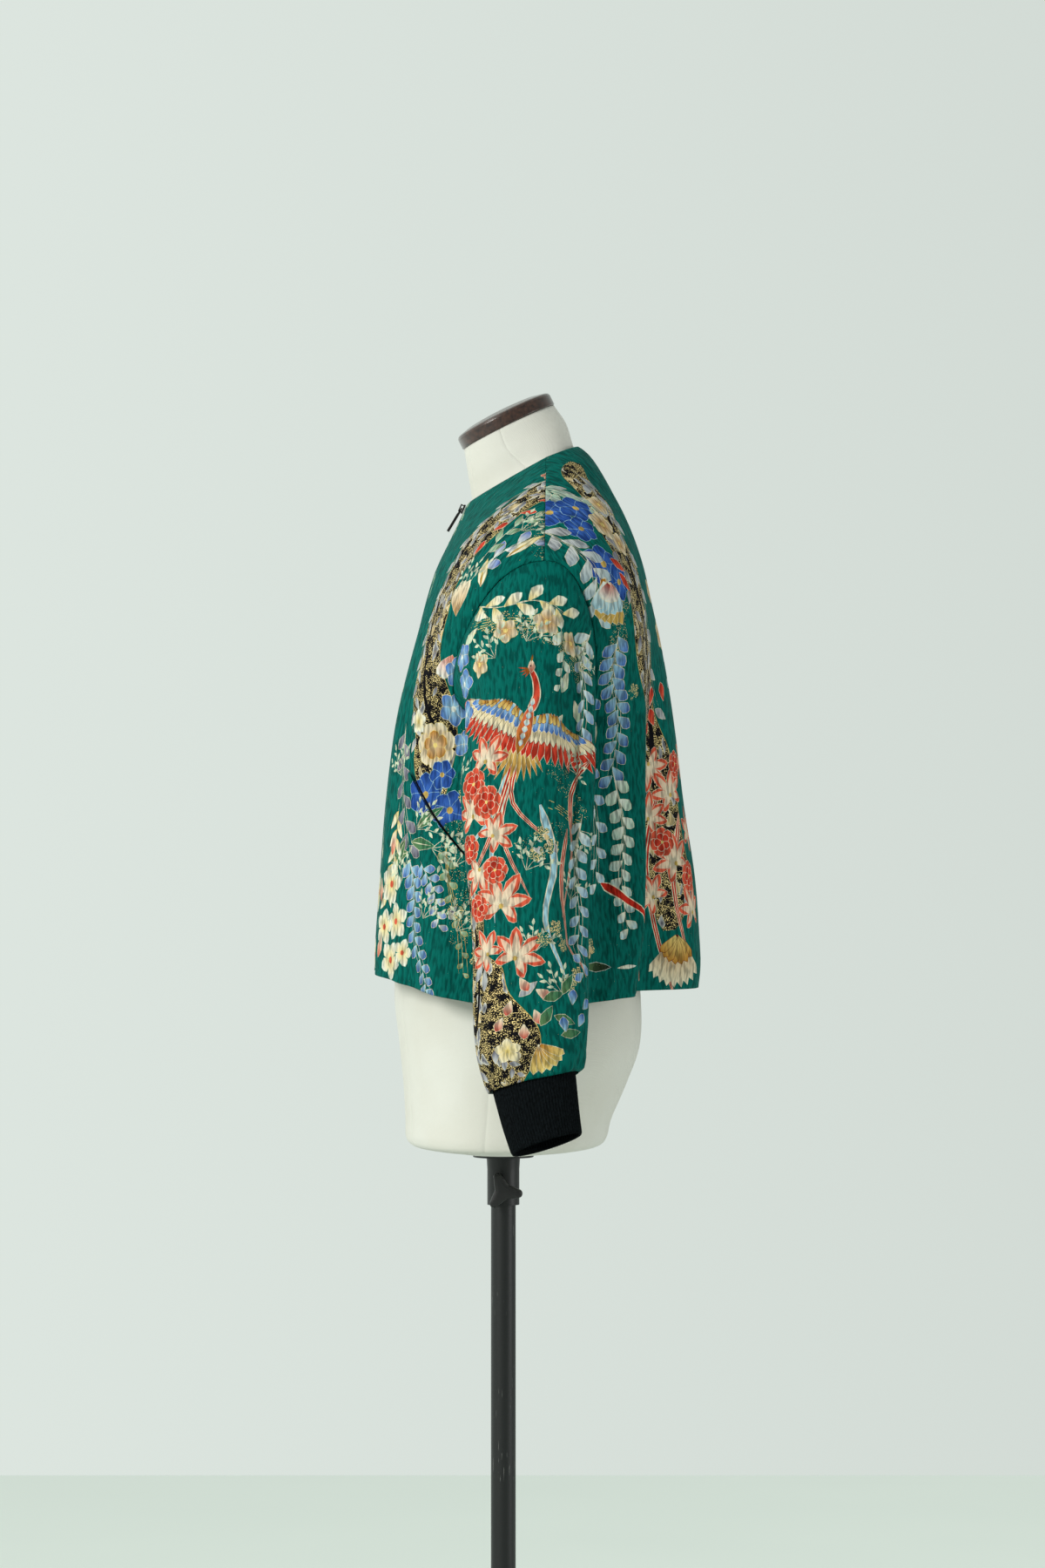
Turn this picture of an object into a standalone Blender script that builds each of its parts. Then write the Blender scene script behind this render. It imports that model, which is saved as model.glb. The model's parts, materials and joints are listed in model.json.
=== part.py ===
"""Kimono-cloth blouson on a limbless dress form with a height-adjustable stand.

Metres, +Z up. The wearer's front faces -Y and the wearer's left is +X.
The origin is on the floor, on the axis of the pole.
"""

from collections import namedtuple
from math import asin, copysign, cos, degrees, pi, radians, sin

import bmesh
import bpy
from mathutils import Matrix, Vector

# Cloth and seams
CLOTH = 0.0015
SEAM_GAP = 0.0003
RIB_HEIGHT = 0.0007
RIBS_ROUND = 60
WELT_CLOTH = 0.0012

# The jacket's body: one row a level, from the neckline (0) to the hem (12).
# A row is a ring round the wearer. The rounds are 1 on an ellipse and less on a squarer ring.
# The ease is 1 on a flat ring, and more where its height changes late towards front and back.
BodyRow = namedtuple(
    "BodyRow",
    "front_y front_z side_x side_y side_z back_y back_z front_round back_round ease",
)
BODY = [
    BodyRow(-0.0360, 1.358, 0.072, 0.0427, 1.401, 0.0765, 1.415, 1.00, 1.00, 1.0),
    BodyRow(-0.0460, 1.336, 0.100, 0.0425, 1.388, 0.0900, 1.402, 0.95, 0.95, 1.1),
    BodyRow(-0.0570, 1.313, 0.135, 0.0420, 1.370, 0.1070, 1.374, 0.88, 0.88, 1.2),
    BodyRow(-0.0680, 1.288, 0.172, 0.0415, 1.347, 0.1220, 1.343, 0.80, 0.80, 1.3),
    BodyRow(-0.0770, 1.258, 0.205, 0.0410, 1.318, 0.1340, 1.312, 0.80, 0.80, 1.3),
    BodyRow(-0.0840, 1.230, 0.228, 0.0403, 1.291, 0.1430, 1.279, 0.78, 0.78, 1.3),
    BodyRow(-0.0950, 1.190, 0.216, 0.0380, 1.240, 0.1500, 1.235, 0.70, 0.67, 1.3),
    BodyRow(-0.1050, 1.150, 0.196, 0.0340, 1.185, 0.1520, 1.180, 0.62, 0.58, 1.3),
    BodyRow(-0.1120, 1.108, 0.178, 0.0290, 1.136, 0.1505, 1.125, 0.58, 0.53, 1.3),
    BodyRow(-0.1190, 1.045, 0.181, 0.0270, 1.065, 0.1495, 1.052, 0.62, 0.56, 1.3),
    BodyRow(-0.1240, 0.975, 0.190, 0.0260, 0.990, 0.1500, 0.983, 0.66, 0.60, 1.3),
    BodyRow(-0.1280, 0.917, 0.200, 0.0250, 0.910, 0.1460, 0.915, 0.70, 0.64, 1.3),
    BodyRow(-0.1285, 0.889, 0.205, 0.0250, 0.858, 0.1400, 0.871, 0.73, 0.67, 1.3),
]
ARMHOLE_TOP = 5.0
HEM = float(len(BODY) - 1)
UNDERARM = 8.0
ARMHOLE_FRONT_DEG = 27.1
ARMHOLE_BACK_DEG = 17.0

# Folds of the body: where round the ring, half width, depth outwards, and the levels
# at which the fold starts and is full. Angles run from the front (0) to the back (180).
BodyFold = namedtuple("BodyFold", "angle half_width depth starts full")
BODY_FOLDS = [
    BodyFold(180, 19, 0.057, 5.7, 11.5),
    BodyFold(162, 11, -0.007, 5.9, 8.5),
    BodyFold(140, 10, 0.009, 5.6, 9.0),
    BodyFold(116, 12, -0.009, 7.6, 10.5),
    BodyFold(101, 9, 0.006, 8.2, 11.0),
    BodyFold(62, 11, 0.006, 8.6, 11.5),
    BodyFold(47, 9, -0.005, 8.8, 11.5),
    BodyFold(22, 12, 0.004, 3.0, 8.0),
]

# The sleeve: rings from the armhole (0) to the cuff seam (10), each by the points on its
# outer, inner, front and back sides. The back lift tilts a ring up at its back.
SleeveRow = namedtuple(
    "SleeveRow", "outer_x outer_z inner_x inner_z front_y back_y back_lift"
)
SLEEVE = [
    SleeveRow(0.228, 1.291, 0.178, 1.136, -0.0450, 0.0890, 0.000),
    SleeveRow(0.248, 1.252, 0.180, 1.127, -0.0430, 0.0890, 0.000),
    SleeveRow(0.262, 1.205, 0.183, 1.113, -0.0370, 0.0890, 0.000),
    SleeveRow(0.274, 1.150, 0.187, 1.090, -0.0365, 0.0885, 0.000),
    SleeveRow(0.286, 1.085, 0.194, 1.052, -0.0405, 0.0880, 0.000),
    SleeveRow(0.299, 1.010, 0.206, 0.990, -0.0360, 0.0850, 0.000),
    SleeveRow(0.314, 0.930, 0.226, 0.918, -0.0285, 0.0830, 0.001),
    SleeveRow(0.328, 0.860, 0.246, 0.852, -0.0275, 0.0820, 0.003),
    SleeveRow(0.334, 0.822, 0.257, 0.818, -0.0240, 0.0805, 0.005),
    SleeveRow(0.3315, 0.802, 0.261, 0.796, -0.0180, 0.0795, 0.008),
    SleeveRow(0.3275, 0.796, 0.2625, 0.785, -0.0135, 0.0730, 0.010),
]
SLEEVE_END = float(len(SLEEVE) - 1)
ARMHOLE_EASE = 2.2

# Folds of the sleeve: angles run from the outer side (0) by the front (90) to the back (270).
SleeveFold = namedtuple("SleeveFold", "angle half_width depth starts full ends")
SLEEVE_FOLDS = [
    SleeveFold(325, 24, -0.010, 0.5, 2.5, 6.0),
    SleeveFold(299, 16, 0.004, 0.8, 2.5, 6.5),
    SleeveFold(62, 20, -0.004, 0.8, 2.0, 4.5),
    SleeveFold(357, 15, -0.006, 7.0, 8.6, 9.6),
    SleeveFold(150, 22, -0.006, 1.0, 3.0, 6.0),
    SleeveFold(215, 20, -0.006, 1.5, 4.0, 8.0),
]
GATHERS = 8
GATHER_DEPTH = 0.0022
GATHERS_START = 8.0
GATHERS_FULL = 8.8
GATHER_WANDER_DEG = 25
GATHER_WANDERS = 3

# The knitted cuff, in the same columns as the sleeve.
CUFF = [
    SleeveRow(0.3240, 0.8000, 0.2660, 0.7890, -0.0095, 0.0690, 0.0095),
    SleeveRow(0.3330, 0.7640, 0.2760, 0.7525, 0.0005, 0.0725, 0.0090),
    SleeveRow(0.3390, 0.7390, 0.2860, 0.7260, 0.0095, 0.0755, 0.0100),
]

# Mesh steps
FRONT_COLUMNS = 10
BACK_COLUMNS = 16
YOKE_ROWS = 5
ARMHOLE_ROWS = 8
SKIRT_ROWS = 7
SLEEVE_COLUMNS = 32
SLEEVE_RINGS = 18
SLEEVE_RING_BIAS = 0.06
FORM_COLUMNS = 28

# Slanted welt pocket: its slit runs from the front end to the side end.
PocketEnd = namedtuple("PocketEnd", "angle level")
POCKET_FRONT = PocketEnd(44.8, 8.50)
POCKET_SIDE = PocketEnd(81.5, 10.05)
WELT_ACROSS = PocketEnd(-7.1, 0.19)
WELT_STEPS = 12

# Zip
ZIP_HALF = 0.0026
ZIP_EDGE = ZIP_HALF + SEAM_GAP
TAPE_HALF = 0.012
TAPE = 0.0006
CHAIN_PROUD = 0.0004
SLIDER_LEVEL = 0.30
SLIDER_HALF = (0.0036, 0.0048, 0.0008)
BRIDGE_HALF_WIDTH = 0.0010
BRIDGE_HALF_LENGTH = 0.0040
BRIDGE_LEG = 0.0012
BRIDGE_CLEAR = 0.0022
PULL_LEAN = radians(31)
PULL_LENGTH = 0.027
PULL_EYE = 0.0060
PULL_EYE_FRAME = 0.0006
PULL_SHOULDER = 0.0012
PULL_BAR = 0.0007
PULL_HALF_WIDTH = 0.0021
PULL_EYE_HALF = (0.0014, 0.0027)
PULL_HALF_THICK = 0.0013
PULL_END_STEPS = 4

# The form's rows: the neck first, then the shoulders, which follow the jacket, then the torso.
NECK = [
    BodyRow(-0.0395, 1.4119, 0.050, 0.0057, 1.4342, 0.0509, 1.4565, 1.0, 1.0, 1.0),
    BodyRow(-0.0355, 1.3870, 0.054, 0.0150, 1.4150, 0.0635, 1.4375, 1.0, 1.0, 1.0),
    BodyRow(-0.0316, 1.3570, 0.066, 0.0380, 1.3975, 0.0722, 1.4110, 1.0, 1.0, 1.0),
]
ShoulderSeat = namedtuple("ShoulderSeat", "level front_clear back_clear")
SHOULDER_SEATS = [
    ShoulderSeat(1.0, 0.0070, 0.0050),
    ShoulderSeat(2.0, 0.0100, 0.0070),
    ShoulderSeat(3.0, 0.0130, 0.0090),
    ShoulderSeat(3.55, 0.0140, 0.0100),
]
# The form's shoulders fall a little earlier towards front and back than the cloth does.
FORM_EASE = 1.12
TORSO = [
    BodyRow(-0.068, 1.252, 0.1925, 0.040, 1.317, 0.126, 1.303, 0.80, 0.80, 1.2),
    BodyRow(-0.074, 1.222, 0.186, 0.039, 1.282, 0.132, 1.268, 0.82, 0.82, 1.2),
    BodyRow(-0.082, 1.190, 0.174, 0.036, 1.238, 0.137, 1.228, 0.84, 0.84, 1.2),
    BodyRow(-0.091, 1.156, 0.162, 0.032, 1.190, 0.138, 1.184, 0.86, 0.86, 1.2),
    BodyRow(-0.096, 1.118, 0.153, 0.028, 1.140, 0.131, 1.132, 0.90, 0.90, 1.2),
    BodyRow(-0.094, 1.075, 0.139, 0.023, 1.085, 0.115, 1.080, 0.94, 0.94, 1.2),
    BodyRow(-0.092, 1.035, 0.130, 0.020, 1.035, 0.106, 1.035, 0.96, 0.96, 1.2),
    BodyRow(-0.098, 0.985, 0.142, 0.018, 0.985, 0.113, 0.985, 0.96, 0.94, 1.2),
    BodyRow(-0.106, 0.925, 0.163, 0.017, 0.925, 0.131, 0.925, 0.94, 0.92, 1.2),
    BodyRow(-0.1095, 0.865, 0.172, 0.016, 0.865, 0.138, 0.865, 0.92, 0.90, 1.2),
    BodyRow(-0.1045, 0.815, 0.171, 0.016, 0.815, 0.1375, 0.815, 0.92, 0.90, 1.2),
    BodyRow(-0.1005, 0.775, 0.168, 0.013, 0.775, 0.1240, 0.775, 0.92, 0.92, 1.2),
    BodyRow(-0.0985, 0.740, 0.166, 0.009, 0.740, 0.1090, 0.740, 0.92, 0.94, 1.2),
    BodyRow(-0.0980, 0.722, 0.165, 0.007, 0.722, 0.1045, 0.722, 0.92, 0.94, 1.2),
    BodyRow(-0.0920, 0.714, 0.160, 0.006, 0.714, 0.0980, 0.714, 0.92, 0.94, 1.2),
    BodyRow(-0.0780, 0.711, 0.146, 0.005, 0.711, 0.0840, 0.711, 0.94, 0.94, 1.2),
]

# Neck cap: a turned disc, tilted with the neck
CAP_TILT = radians(26.3)
CAP_CENTRE = Vector((0, 0.0057, 1.4342))
CAP_STEPS = 32
TurnedPoint = namedtuple("TurnedPoint", "radius height")
CAP_PROFILE = [
    TurnedPoint(0.0505, SEAM_GAP),
    TurnedPoint(0.0515, 0.0013),
    TurnedPoint(0.0515, 0.0110),
    TurnedPoint(0.0506, 0.0131),
    TurnedPoint(0.0485, 0.0143),
    TurnedPoint(0.0371, 0.0172),
    TurnedPoint(0.0206, 0.0187),
    TurnedPoint(0.0052, 0.0190),
]

# Stand
POLE_RADIUS = 0.0125
POLE_FIT = 0.0003
POLE_TOP = 1.030
BORE_RADIUS = 0.0135
BORE_TOP = 1.260
FORM_BOTTOM = 0.7023
FORM_FLAT_RADIUS = 0.0345
FLANGE_RADIUS = 0.0305
FLANGE_THICK = 0.0020
COLLAR_RADIUS = 0.0162
COLLAR_FLARE = 0.0169
COLLAR_FLARE_LENGTH = 0.012
COLLAR_BOTTOM = 0.652
BOSS_RADIUS = 0.0085
BOSS_REACH = 0.0235
SCREW_HEIGHT = 0.6673
SCREW_RADIUS = 0.0040
SCREW_FIT = 0.0003
KNOB_ARM = 0.0195
KNOB_ARM_HALF = 0.0042
KNOB_TURN = radians(112)
KNOB_ARMS = 3
KNOB_END_STEPS = 6
# Between two arms, the outline's distance from the axis at shares of the way across.
KnobHollow = namedtuple("KnobHollow", "share reach")
KNOB_HOLLOWS = [KnobHollow(0.3, 0.01054), KnobHollow(0.5, 0.0085), KnobHollow(0.7, 0.01054)]
# The knob's thickness from its back, and how much smaller its outline is there.
KnobRing = namedtuple("KnobRing", "depth scale")
KNOB_RINGS = [
    KnobRing(0.0000, 0.949),
    KnobRing(0.0012, 1.000),
    KnobRing(0.0090, 1.000),
    KnobRing(0.0110, 0.897),
]
PLATE_RADIUS = 0.180
PLATE_THICK = 0.008
PLATE_CHAMFER = 0.002
FOOT_RADIUS = 0.026
FOOT_NECK = 0.019
FOOT_HEIGHT = 0.045
FOOT_SKIRT = 0.006
FOOT_SHOULDER = 0.014
EDGE = 0.001
ROUND_STEPS = 40
POLE_STEPS = 24
SCREW_STEPS = 20


def row_at(table, level):
    """The row at a level between the table's own rows, on a smooth curve through all of them."""
    below = max(0, min(int(level), len(table) - 2))
    step = level - below
    start, end = table[below], table[below + 1]
    before = table[below - 1] if below else [2 * a - b for a, b in zip(start, end)]
    if below + 2 < len(table):
        after = table[below + 2]
    else:
        after = [2 * b - a for a, b in zip(start, end)]
    values = []
    for a, b, c, d in zip(before, start, end, after):
        rise = (c - a) * step
        bend = (2 * a - 5 * b + 4 * c - d) * step**2
        twist = (3 * b - a - 3 * c + d) * step**3
        values.append(b + (rise + bend + twist) / 2)
    return type(start)(*values)


def signed_power(value, power):
    return copysign(abs(value) ** power, value)


def ramp(value, start, end):
    return max(0.0, min(1.0, (value - start) / (end - start)))


def bell(offset, half_width):
    share = min(1.0, abs(offset) / half_width)
    return (1 + cos(pi * share)) / 2


def ring_point(row, angle):
    """A point of a row's ring. The angle is in degrees: 0 front, 90 left side, 180 back."""
    turn = radians(angle)
    forward = cos(turn)
    in_front = forward > 0
    end_y, end_z, power = (
        (row.front_y, row.front_z, row.front_round)
        if in_front
        else (row.back_y, row.back_z, row.back_round)
    )
    reach = abs(forward) ** power
    return Vector(
        (
            row.side_x * signed_power(sin(turn), power),
            row.side_y + (end_y - row.side_y) * reach,
            row.side_z + (end_z - row.side_z) * abs(forward) ** row.ease,
        )
    )


def body_point(angle, level, out=0.0):
    """A point on the outside of the jacket's body, or that far outside it."""
    point = ring_point(row_at(BODY, level), angle)
    turn = radians(angle)
    outwards = Vector((sin(turn), -cos(turn), 0))
    for fold in BODY_FOLDS:
        amount = fold.depth * ramp(level, fold.starts, fold.full)
        point += outwards * (amount * bell(abs(angle) - fold.angle, fold.half_width))
    if out:
        point += body_normal(angle, level) * out
    return point


def body_normal(angle, level):
    """The outward direction, from four points close by."""
    around = body_point(angle + 1.5, level) - body_point(angle - 1.5, level)
    down = body_point(angle, level + 0.03) - body_point(angle, level - 0.03)
    return down.cross(around).normalized()


def armhole_turn(turn):
    """Angle and level of a point on the armhole seam: 0 is its top, 90 its front edge."""
    middle = (ARMHOLE_TOP + UNDERARM) / 2
    half = (UNDERARM - ARMHOLE_TOP) / 2
    forward = sin(radians(turn))
    reach = ARMHOLE_FRONT_DEG if forward > 0 else ARMHOLE_BACK_DEG
    return 90 - reach * forward, middle - half * cos(radians(turn))


def seam_point(turn):
    """A point of the armhole seam, on the straight stretches between the panels' rows."""
    step = 180 / ARMHOLE_ROWS
    start = step * (turn // step)
    ends = [armhole_turn(start), armhole_turn(start + step)]
    points = [body_point(angle, level, out=SEAM_GAP) for angle, level in ends]
    return points[0].lerp(points[1], (turn - start) / step)


def armhole_reach(level):
    """How far the armhole has opened at a level, from 0 to 1."""
    middle = (ARMHOLE_TOP + UNDERARM) / 2
    half = (UNDERARM - ARMHOLE_TOP) / 2
    share = (level - middle) / half
    return max(0.0, 1 - share * share) ** 0.5


def section_point(row, turn):
    """A point of a sleeve's or cuff's ring. 0 is its outer side, 90 its front."""
    along, forward = cos(radians(turn)), sin(radians(turn))
    middle_y = (row.front_y + row.back_y) / 2
    return Vector(
        (
            (row.outer_x + row.inner_x + (row.outer_x - row.inner_x) * along) / 2,
            middle_y - (row.back_y - row.front_y) / 2 * forward,
            (row.outer_z + row.inner_z + (row.outer_z - row.inner_z) * along) / 2
            - row.back_lift * forward,
        )
    )


def section_outwards(row, turn):
    across = Vector((row.outer_x - row.inner_x, 0, row.outer_z - row.inner_z)).normalized()
    return across * cos(radians(turn)) - Vector((0, 1, 0)) * sin(radians(turn))


def turn_between(turn, other):
    return (turn - other + 180) % 360 - 180


def sleeve_point(turn, level):
    """A point on the outside of the left sleeve."""
    row = row_at(SLEEVE, level)
    point = section_point(row, turn)
    outwards = section_outwards(row, turn)
    for fold in SLEEVE_FOLDS:
        grown = ramp(level, fold.starts, fold.full)
        left = 1 - ramp(level, fold.full, fold.ends)
        across = bell(turn_between(turn, fold.angle), fold.half_width)
        point += outwards * (fold.depth * grown * left * across)
    growing = ramp(level, GATHERS_START, GATHERS_FULL)
    gathered = growing * (1 - ramp(level, GATHERS_FULL, SLEEVE_END))
    wander = GATHER_WANDER_DEG * sin(radians(GATHER_WANDERS * turn))
    wave = cos(radians(GATHERS * turn + wander))
    point += outwards * (GATHER_DEPTH * gathered * (wave - 1))
    seam_share = max(0.0, 1 - level / ARMHOLE_EASE) ** 2
    if seam_share:
        point += (seam_point(turn) - section_point(SLEEVE[0], turn)) * seam_share
    return point


def sleeve_normal(turn, level):
    around = sleeve_point(turn + 2, level) - sleeve_point(turn - 2, level)
    down = sleeve_point(turn, level + 0.02) - sleeve_point(turn, level - 0.02)
    return around.cross(down).normalized()


def material(name, colour, roughness, metallic=0.0):
    made = bpy.data.materials.new(name)
    made.use_nodes = True
    shader = made.node_tree.nodes["Principled BSDF"]
    shader.inputs["Base Color"].default_value = (*colour, 1)
    shader.inputs["Roughness"].default_value = roughness
    shader.inputs["Metallic"].default_value = metallic
    return made


def object_of(name, bm, finish, origin=None):
    """A scene object of the finished mesh, with its origin at the given place."""
    bmesh.ops.recalc_face_normals(bm, faces=bm.faces)
    mesh = bpy.data.meshes.new(name)
    if origin is not None:
        bm.transform(Matrix.Translation(-origin))
    bm.to_mesh(mesh)
    bm.free()
    mesh.shade_smooth()
    mesh.set_sharp_from_angle(angle=radians(40))
    mesh.materials.append(finish)
    made = bpy.data.objects.new(name, mesh)
    if origin is not None:
        made.location = origin
    bpy.context.collection.objects.link(made)
    return made


def lofted(rings):
    """A closed mesh through rings of as many points each."""
    bm = bmesh.new()
    rows = [[bm.verts.new(point) for point in ring] for ring in rings]
    count = len(rings[0])
    for upper, lower in zip(rows, rows[1:]):
        for i in range(count):
            j = (i + 1) % count
            bm.faces.new((upper[i], upper[j], lower[j], lower[i]))
    bm.faces.new(rows[0])
    bm.faces.new(rows[-1])
    return bm


def cloth_wall(outer, inner, closed_round):
    """A cloth wall between two grids of points, closed along its edges."""
    bm = bmesh.new()
    faces = []
    for grid in (outer, inner):
        faces.append([[bm.verts.new(point) for point in row] for row in grid])
    outside, inside = faces
    rows, columns = len(outer), len(outer[0])
    steps = columns if closed_round else columns - 1
    for r in range(rows - 1):
        for c in range(steps):
            d = (c + 1) % columns
            for side in (outside, inside):
                bm.faces.new((side[r][c], side[r][d], side[r + 1][d], side[r + 1][c]))
    for r in (0, rows - 1):
        for c in range(steps):
            d = (c + 1) % columns
            bm.faces.new((outside[r][c], outside[r][d], inside[r][d], inside[r][c]))
    if not closed_round:
        for c in (0, columns - 1):
            for r in range(rows - 1):
                bm.faces.new(
                    (outside[r][c], outside[r + 1][c], inside[r + 1][c], inside[r][c])
                )
    return bm


def mirrored(grid):
    return [[Vector((-p.x, p.y, p.z)) for p in row] for row in grid]


def both_sides(name, outer, inner, closed_round, finish):
    """The left piece and its mirror image on the right."""
    object_of(name + "_left", cloth_wall(outer, inner, closed_round), finish)
    object_of(
        name + "_right", cloth_wall(mirrored(outer), mirrored(inner), closed_round), finish
    )


def panel_levels():
    """The levels of the panels' rows, closer together where the armhole turns."""
    yoke = [ARMHOLE_TOP * i / YOKE_ROWS for i in range(YOKE_ROWS)]
    armhole = [armhole_turn(180 * i / ARMHOLE_ROWS)[1] for i in range(ARMHOLE_ROWS)]
    skirt = [UNDERARM + (HEM - UNDERARM) * i / SKIRT_ROWS for i in range(SKIRT_ROWS + 1)]
    return yoke + armhole + skirt


def centre_angle(level, half_width):
    """The angle at which the ring of a level is that far from the middle of the front."""
    row = row_at(BODY, level)
    return degrees(asin((half_width / row.side_x) ** (1 / row.front_round)))


def side_gap(depth, power):
    """Half of the side seam's gap as an angle of a ring of that depth and round."""
    return degrees(asin((SEAM_GAP / 2 / depth) ** (1 / power)))


def panel(columns, level, start, end):
    """One row of a panel: outer points and inner points from one angle to another."""
    angles = [start + (end - start) * i / (columns - 1) for i in range(columns)]
    outer = [body_point(angle, level) for angle in angles]
    inner = [body_point(angle, level, out=-CLOTH) for angle in angles]
    return outer, inner


def make_fronts(finish):
    outer, inner = [], []
    for level in panel_levels():
        row = row_at(BODY, level)
        gap = side_gap(row.side_y - row.front_y, row.front_round)
        end = 90 - ARMHOLE_FRONT_DEG * armhole_reach(level) - gap
        start = centre_angle(level, ZIP_EDGE)
        outside, inside = panel(FRONT_COLUMNS, level, start, end)
        outer.append(outside)
        inner.append(inside)
    both_sides("front", outer, inner, False, finish)


def make_back(finish):
    outer, inner = [], []
    for level in panel_levels():
        row = row_at(BODY, level)
        gap = side_gap(row.back_y - row.side_y, row.back_round)
        start = 90 + ARMHOLE_BACK_DEG * armhole_reach(level) + gap
        for grid, left in zip((outer, inner), panel(BACK_COLUMNS, level, start, 180)):
            right = [Vector((-p.x, p.y, p.z)) for p in reversed(left[:-1])]
            grid.append(left + right)
    object_of("back", cloth_wall(outer, inner, False), finish)


def make_sleeves(finish):
    outer, inner = [], []
    for i in range(SLEEVE_RINGS):
        share = i / (SLEEVE_RINGS - 1)
        level = SLEEVE_END * (share + SLEEVE_RING_BIAS * sin(pi * share))
        turns = [360 * k / SLEEVE_COLUMNS for k in range(SLEEVE_COLUMNS)]
        outer.append([sleeve_point(turn, level) for turn in turns])
        inner.append(
            [sleeve_point(turn, level) - sleeve_normal(turn, level) * CLOTH for turn in turns]
        )
    for rows in (outer, inner):
        for edge, neighbour in zip(rows[0], rows[1]):
            edge += (neighbour - edge).normalized() * SEAM_GAP
    both_sides("sleeve", outer, inner, True, finish)


def make_cuffs(finish):
    """Ribs stand on the outer points. The inside is plain."""
    outer, inner = [], []
    columns = 2 * RIBS_ROUND
    for row in CUFF:
        ribbed, plain = [], []
        for k in range(columns):
            turn = 360 * k / columns
            outwards = section_outwards(row, turn)
            point = section_point(row, turn)
            ribbed.append(point + outwards * (RIB_HEIGHT * (k % 2)))
            plain.append(point - outwards * CLOTH)
        outer.append(ribbed)
        inner.append(plain)
    both_sides("cuff", outer, inner, True, finish)


def make_pocket_welts(finish):
    outer, inner = [], []
    for across in (0.0, 0.5, 1.0):
        row_out, row_in = [], []
        for i in range(WELT_STEPS):
            along = i / (WELT_STEPS - 1)
            angle = POCKET_FRONT.angle + (POCKET_SIDE.angle - POCKET_FRONT.angle) * along
            level = POCKET_FRONT.level + (POCKET_SIDE.level - POCKET_FRONT.level) * along
            angle += WELT_ACROSS.angle * across
            level += WELT_ACROSS.level * across
            row_in.append(body_point(angle, level, out=SEAM_GAP * 2))
            row_out.append(body_point(angle, level, out=SEAM_GAP * 2 + WELT_CLOTH))
        outer.append(row_out)
        inner.append(row_in)
    both_sides("pocket_welt", outer, inner, False, finish)


def make_zip(finish):
    """Tape behind the front edges with the closed chain standing up between them."""
    behind = -(CLOTH + SEAM_GAP)
    rings = []
    for level in panel_levels():
        narrow = centre_angle(level, ZIP_HALF)
        wide = centre_angle(level, TAPE_HALF)
        left = [
            body_point(wide, level, out=behind - TAPE),
            body_point(wide, level, out=behind),
            body_point(narrow, level, out=behind),
            body_point(narrow, level, out=CHAIN_PROUD),
        ]
        right = [Vector((-p.x, p.y, p.z)) for p in reversed(left)]
        rings.append(left + right)
    object_of("zip", lofted(rings), finish)


def block(bm, centre, half, axes):
    """A box on three directions, added to the mesh."""
    frame = Matrix((axes[0], axes[1], axes[2])).transposed().to_4x4()
    size = Matrix.Diagonal((2 * half[0], 2 * half[1], 2 * half[2], 1))
    place = Matrix.Translation(centre) @ frame @ size
    bmesh.ops.create_cube(bm, size=1, matrix=place)


def apply_booleans(target, steps):
    """Joins or cuts the target with helper objects, then removes the helpers."""
    for operation, helper in steps:
        modifier = target.modifiers.new(operation.lower(), "BOOLEAN")
        modifier.operation = operation
        modifier.object = helper
        helper.hide_render = True
        helper.display_type = "WIRE"


def zip_axes():
    """The slider's place on the chain, with its width, length and outward directions."""
    seat = body_point(0, SLIDER_LEVEL, out=CHAIN_PROUD + SEAM_GAP)
    down = (body_point(0, SLIDER_LEVEL + 0.2) - body_point(0, SLIDER_LEVEL - 0.2)).normalized()
    across = Vector((1, 0, 0))
    return seat, across, down, down.cross(across).normalized()


def pull_hinge():
    seat, _, _, out = zip_axes()
    return seat + out * (2 * SLIDER_HALF[2] + BRIDGE_CLEAR / 2)


def make_slider(finish):
    seat, across, down, out = zip_axes()
    axes = (across, down, out)
    plate_top = 2 * SLIDER_HALF[2]
    bm = bmesh.new()
    block(bm, seat + out * SLIDER_HALF[2], SLIDER_HALF, axes)
    plate = object_of("zip_slider", bm, finish)
    height = BRIDGE_CLEAR + BRIDGE_LEG
    bm = bmesh.new()
    middle = seat + out * (plate_top + height / 2 - SLIDER_HALF[2] / 2)
    half = (BRIDGE_HALF_WIDTH, BRIDGE_HALF_LENGTH, height / 2 + SLIDER_HALF[2] / 2)
    block(bm, middle, half, axes)
    bridge = object_of("bridge_block", bm, finish)
    bm = bmesh.new()
    clear = (2 * BRIDGE_HALF_WIDTH, BRIDGE_HALF_LENGTH - BRIDGE_LEG, BRIDGE_CLEAR / 2)
    block(bm, seat + out * (plate_top + BRIDGE_CLEAR / 2), clear, axes)
    gap = object_of("bridge_gap", bm, finish)
    apply_booleans(plate, [("UNION", bridge), ("DIFFERENCE", gap)])


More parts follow.
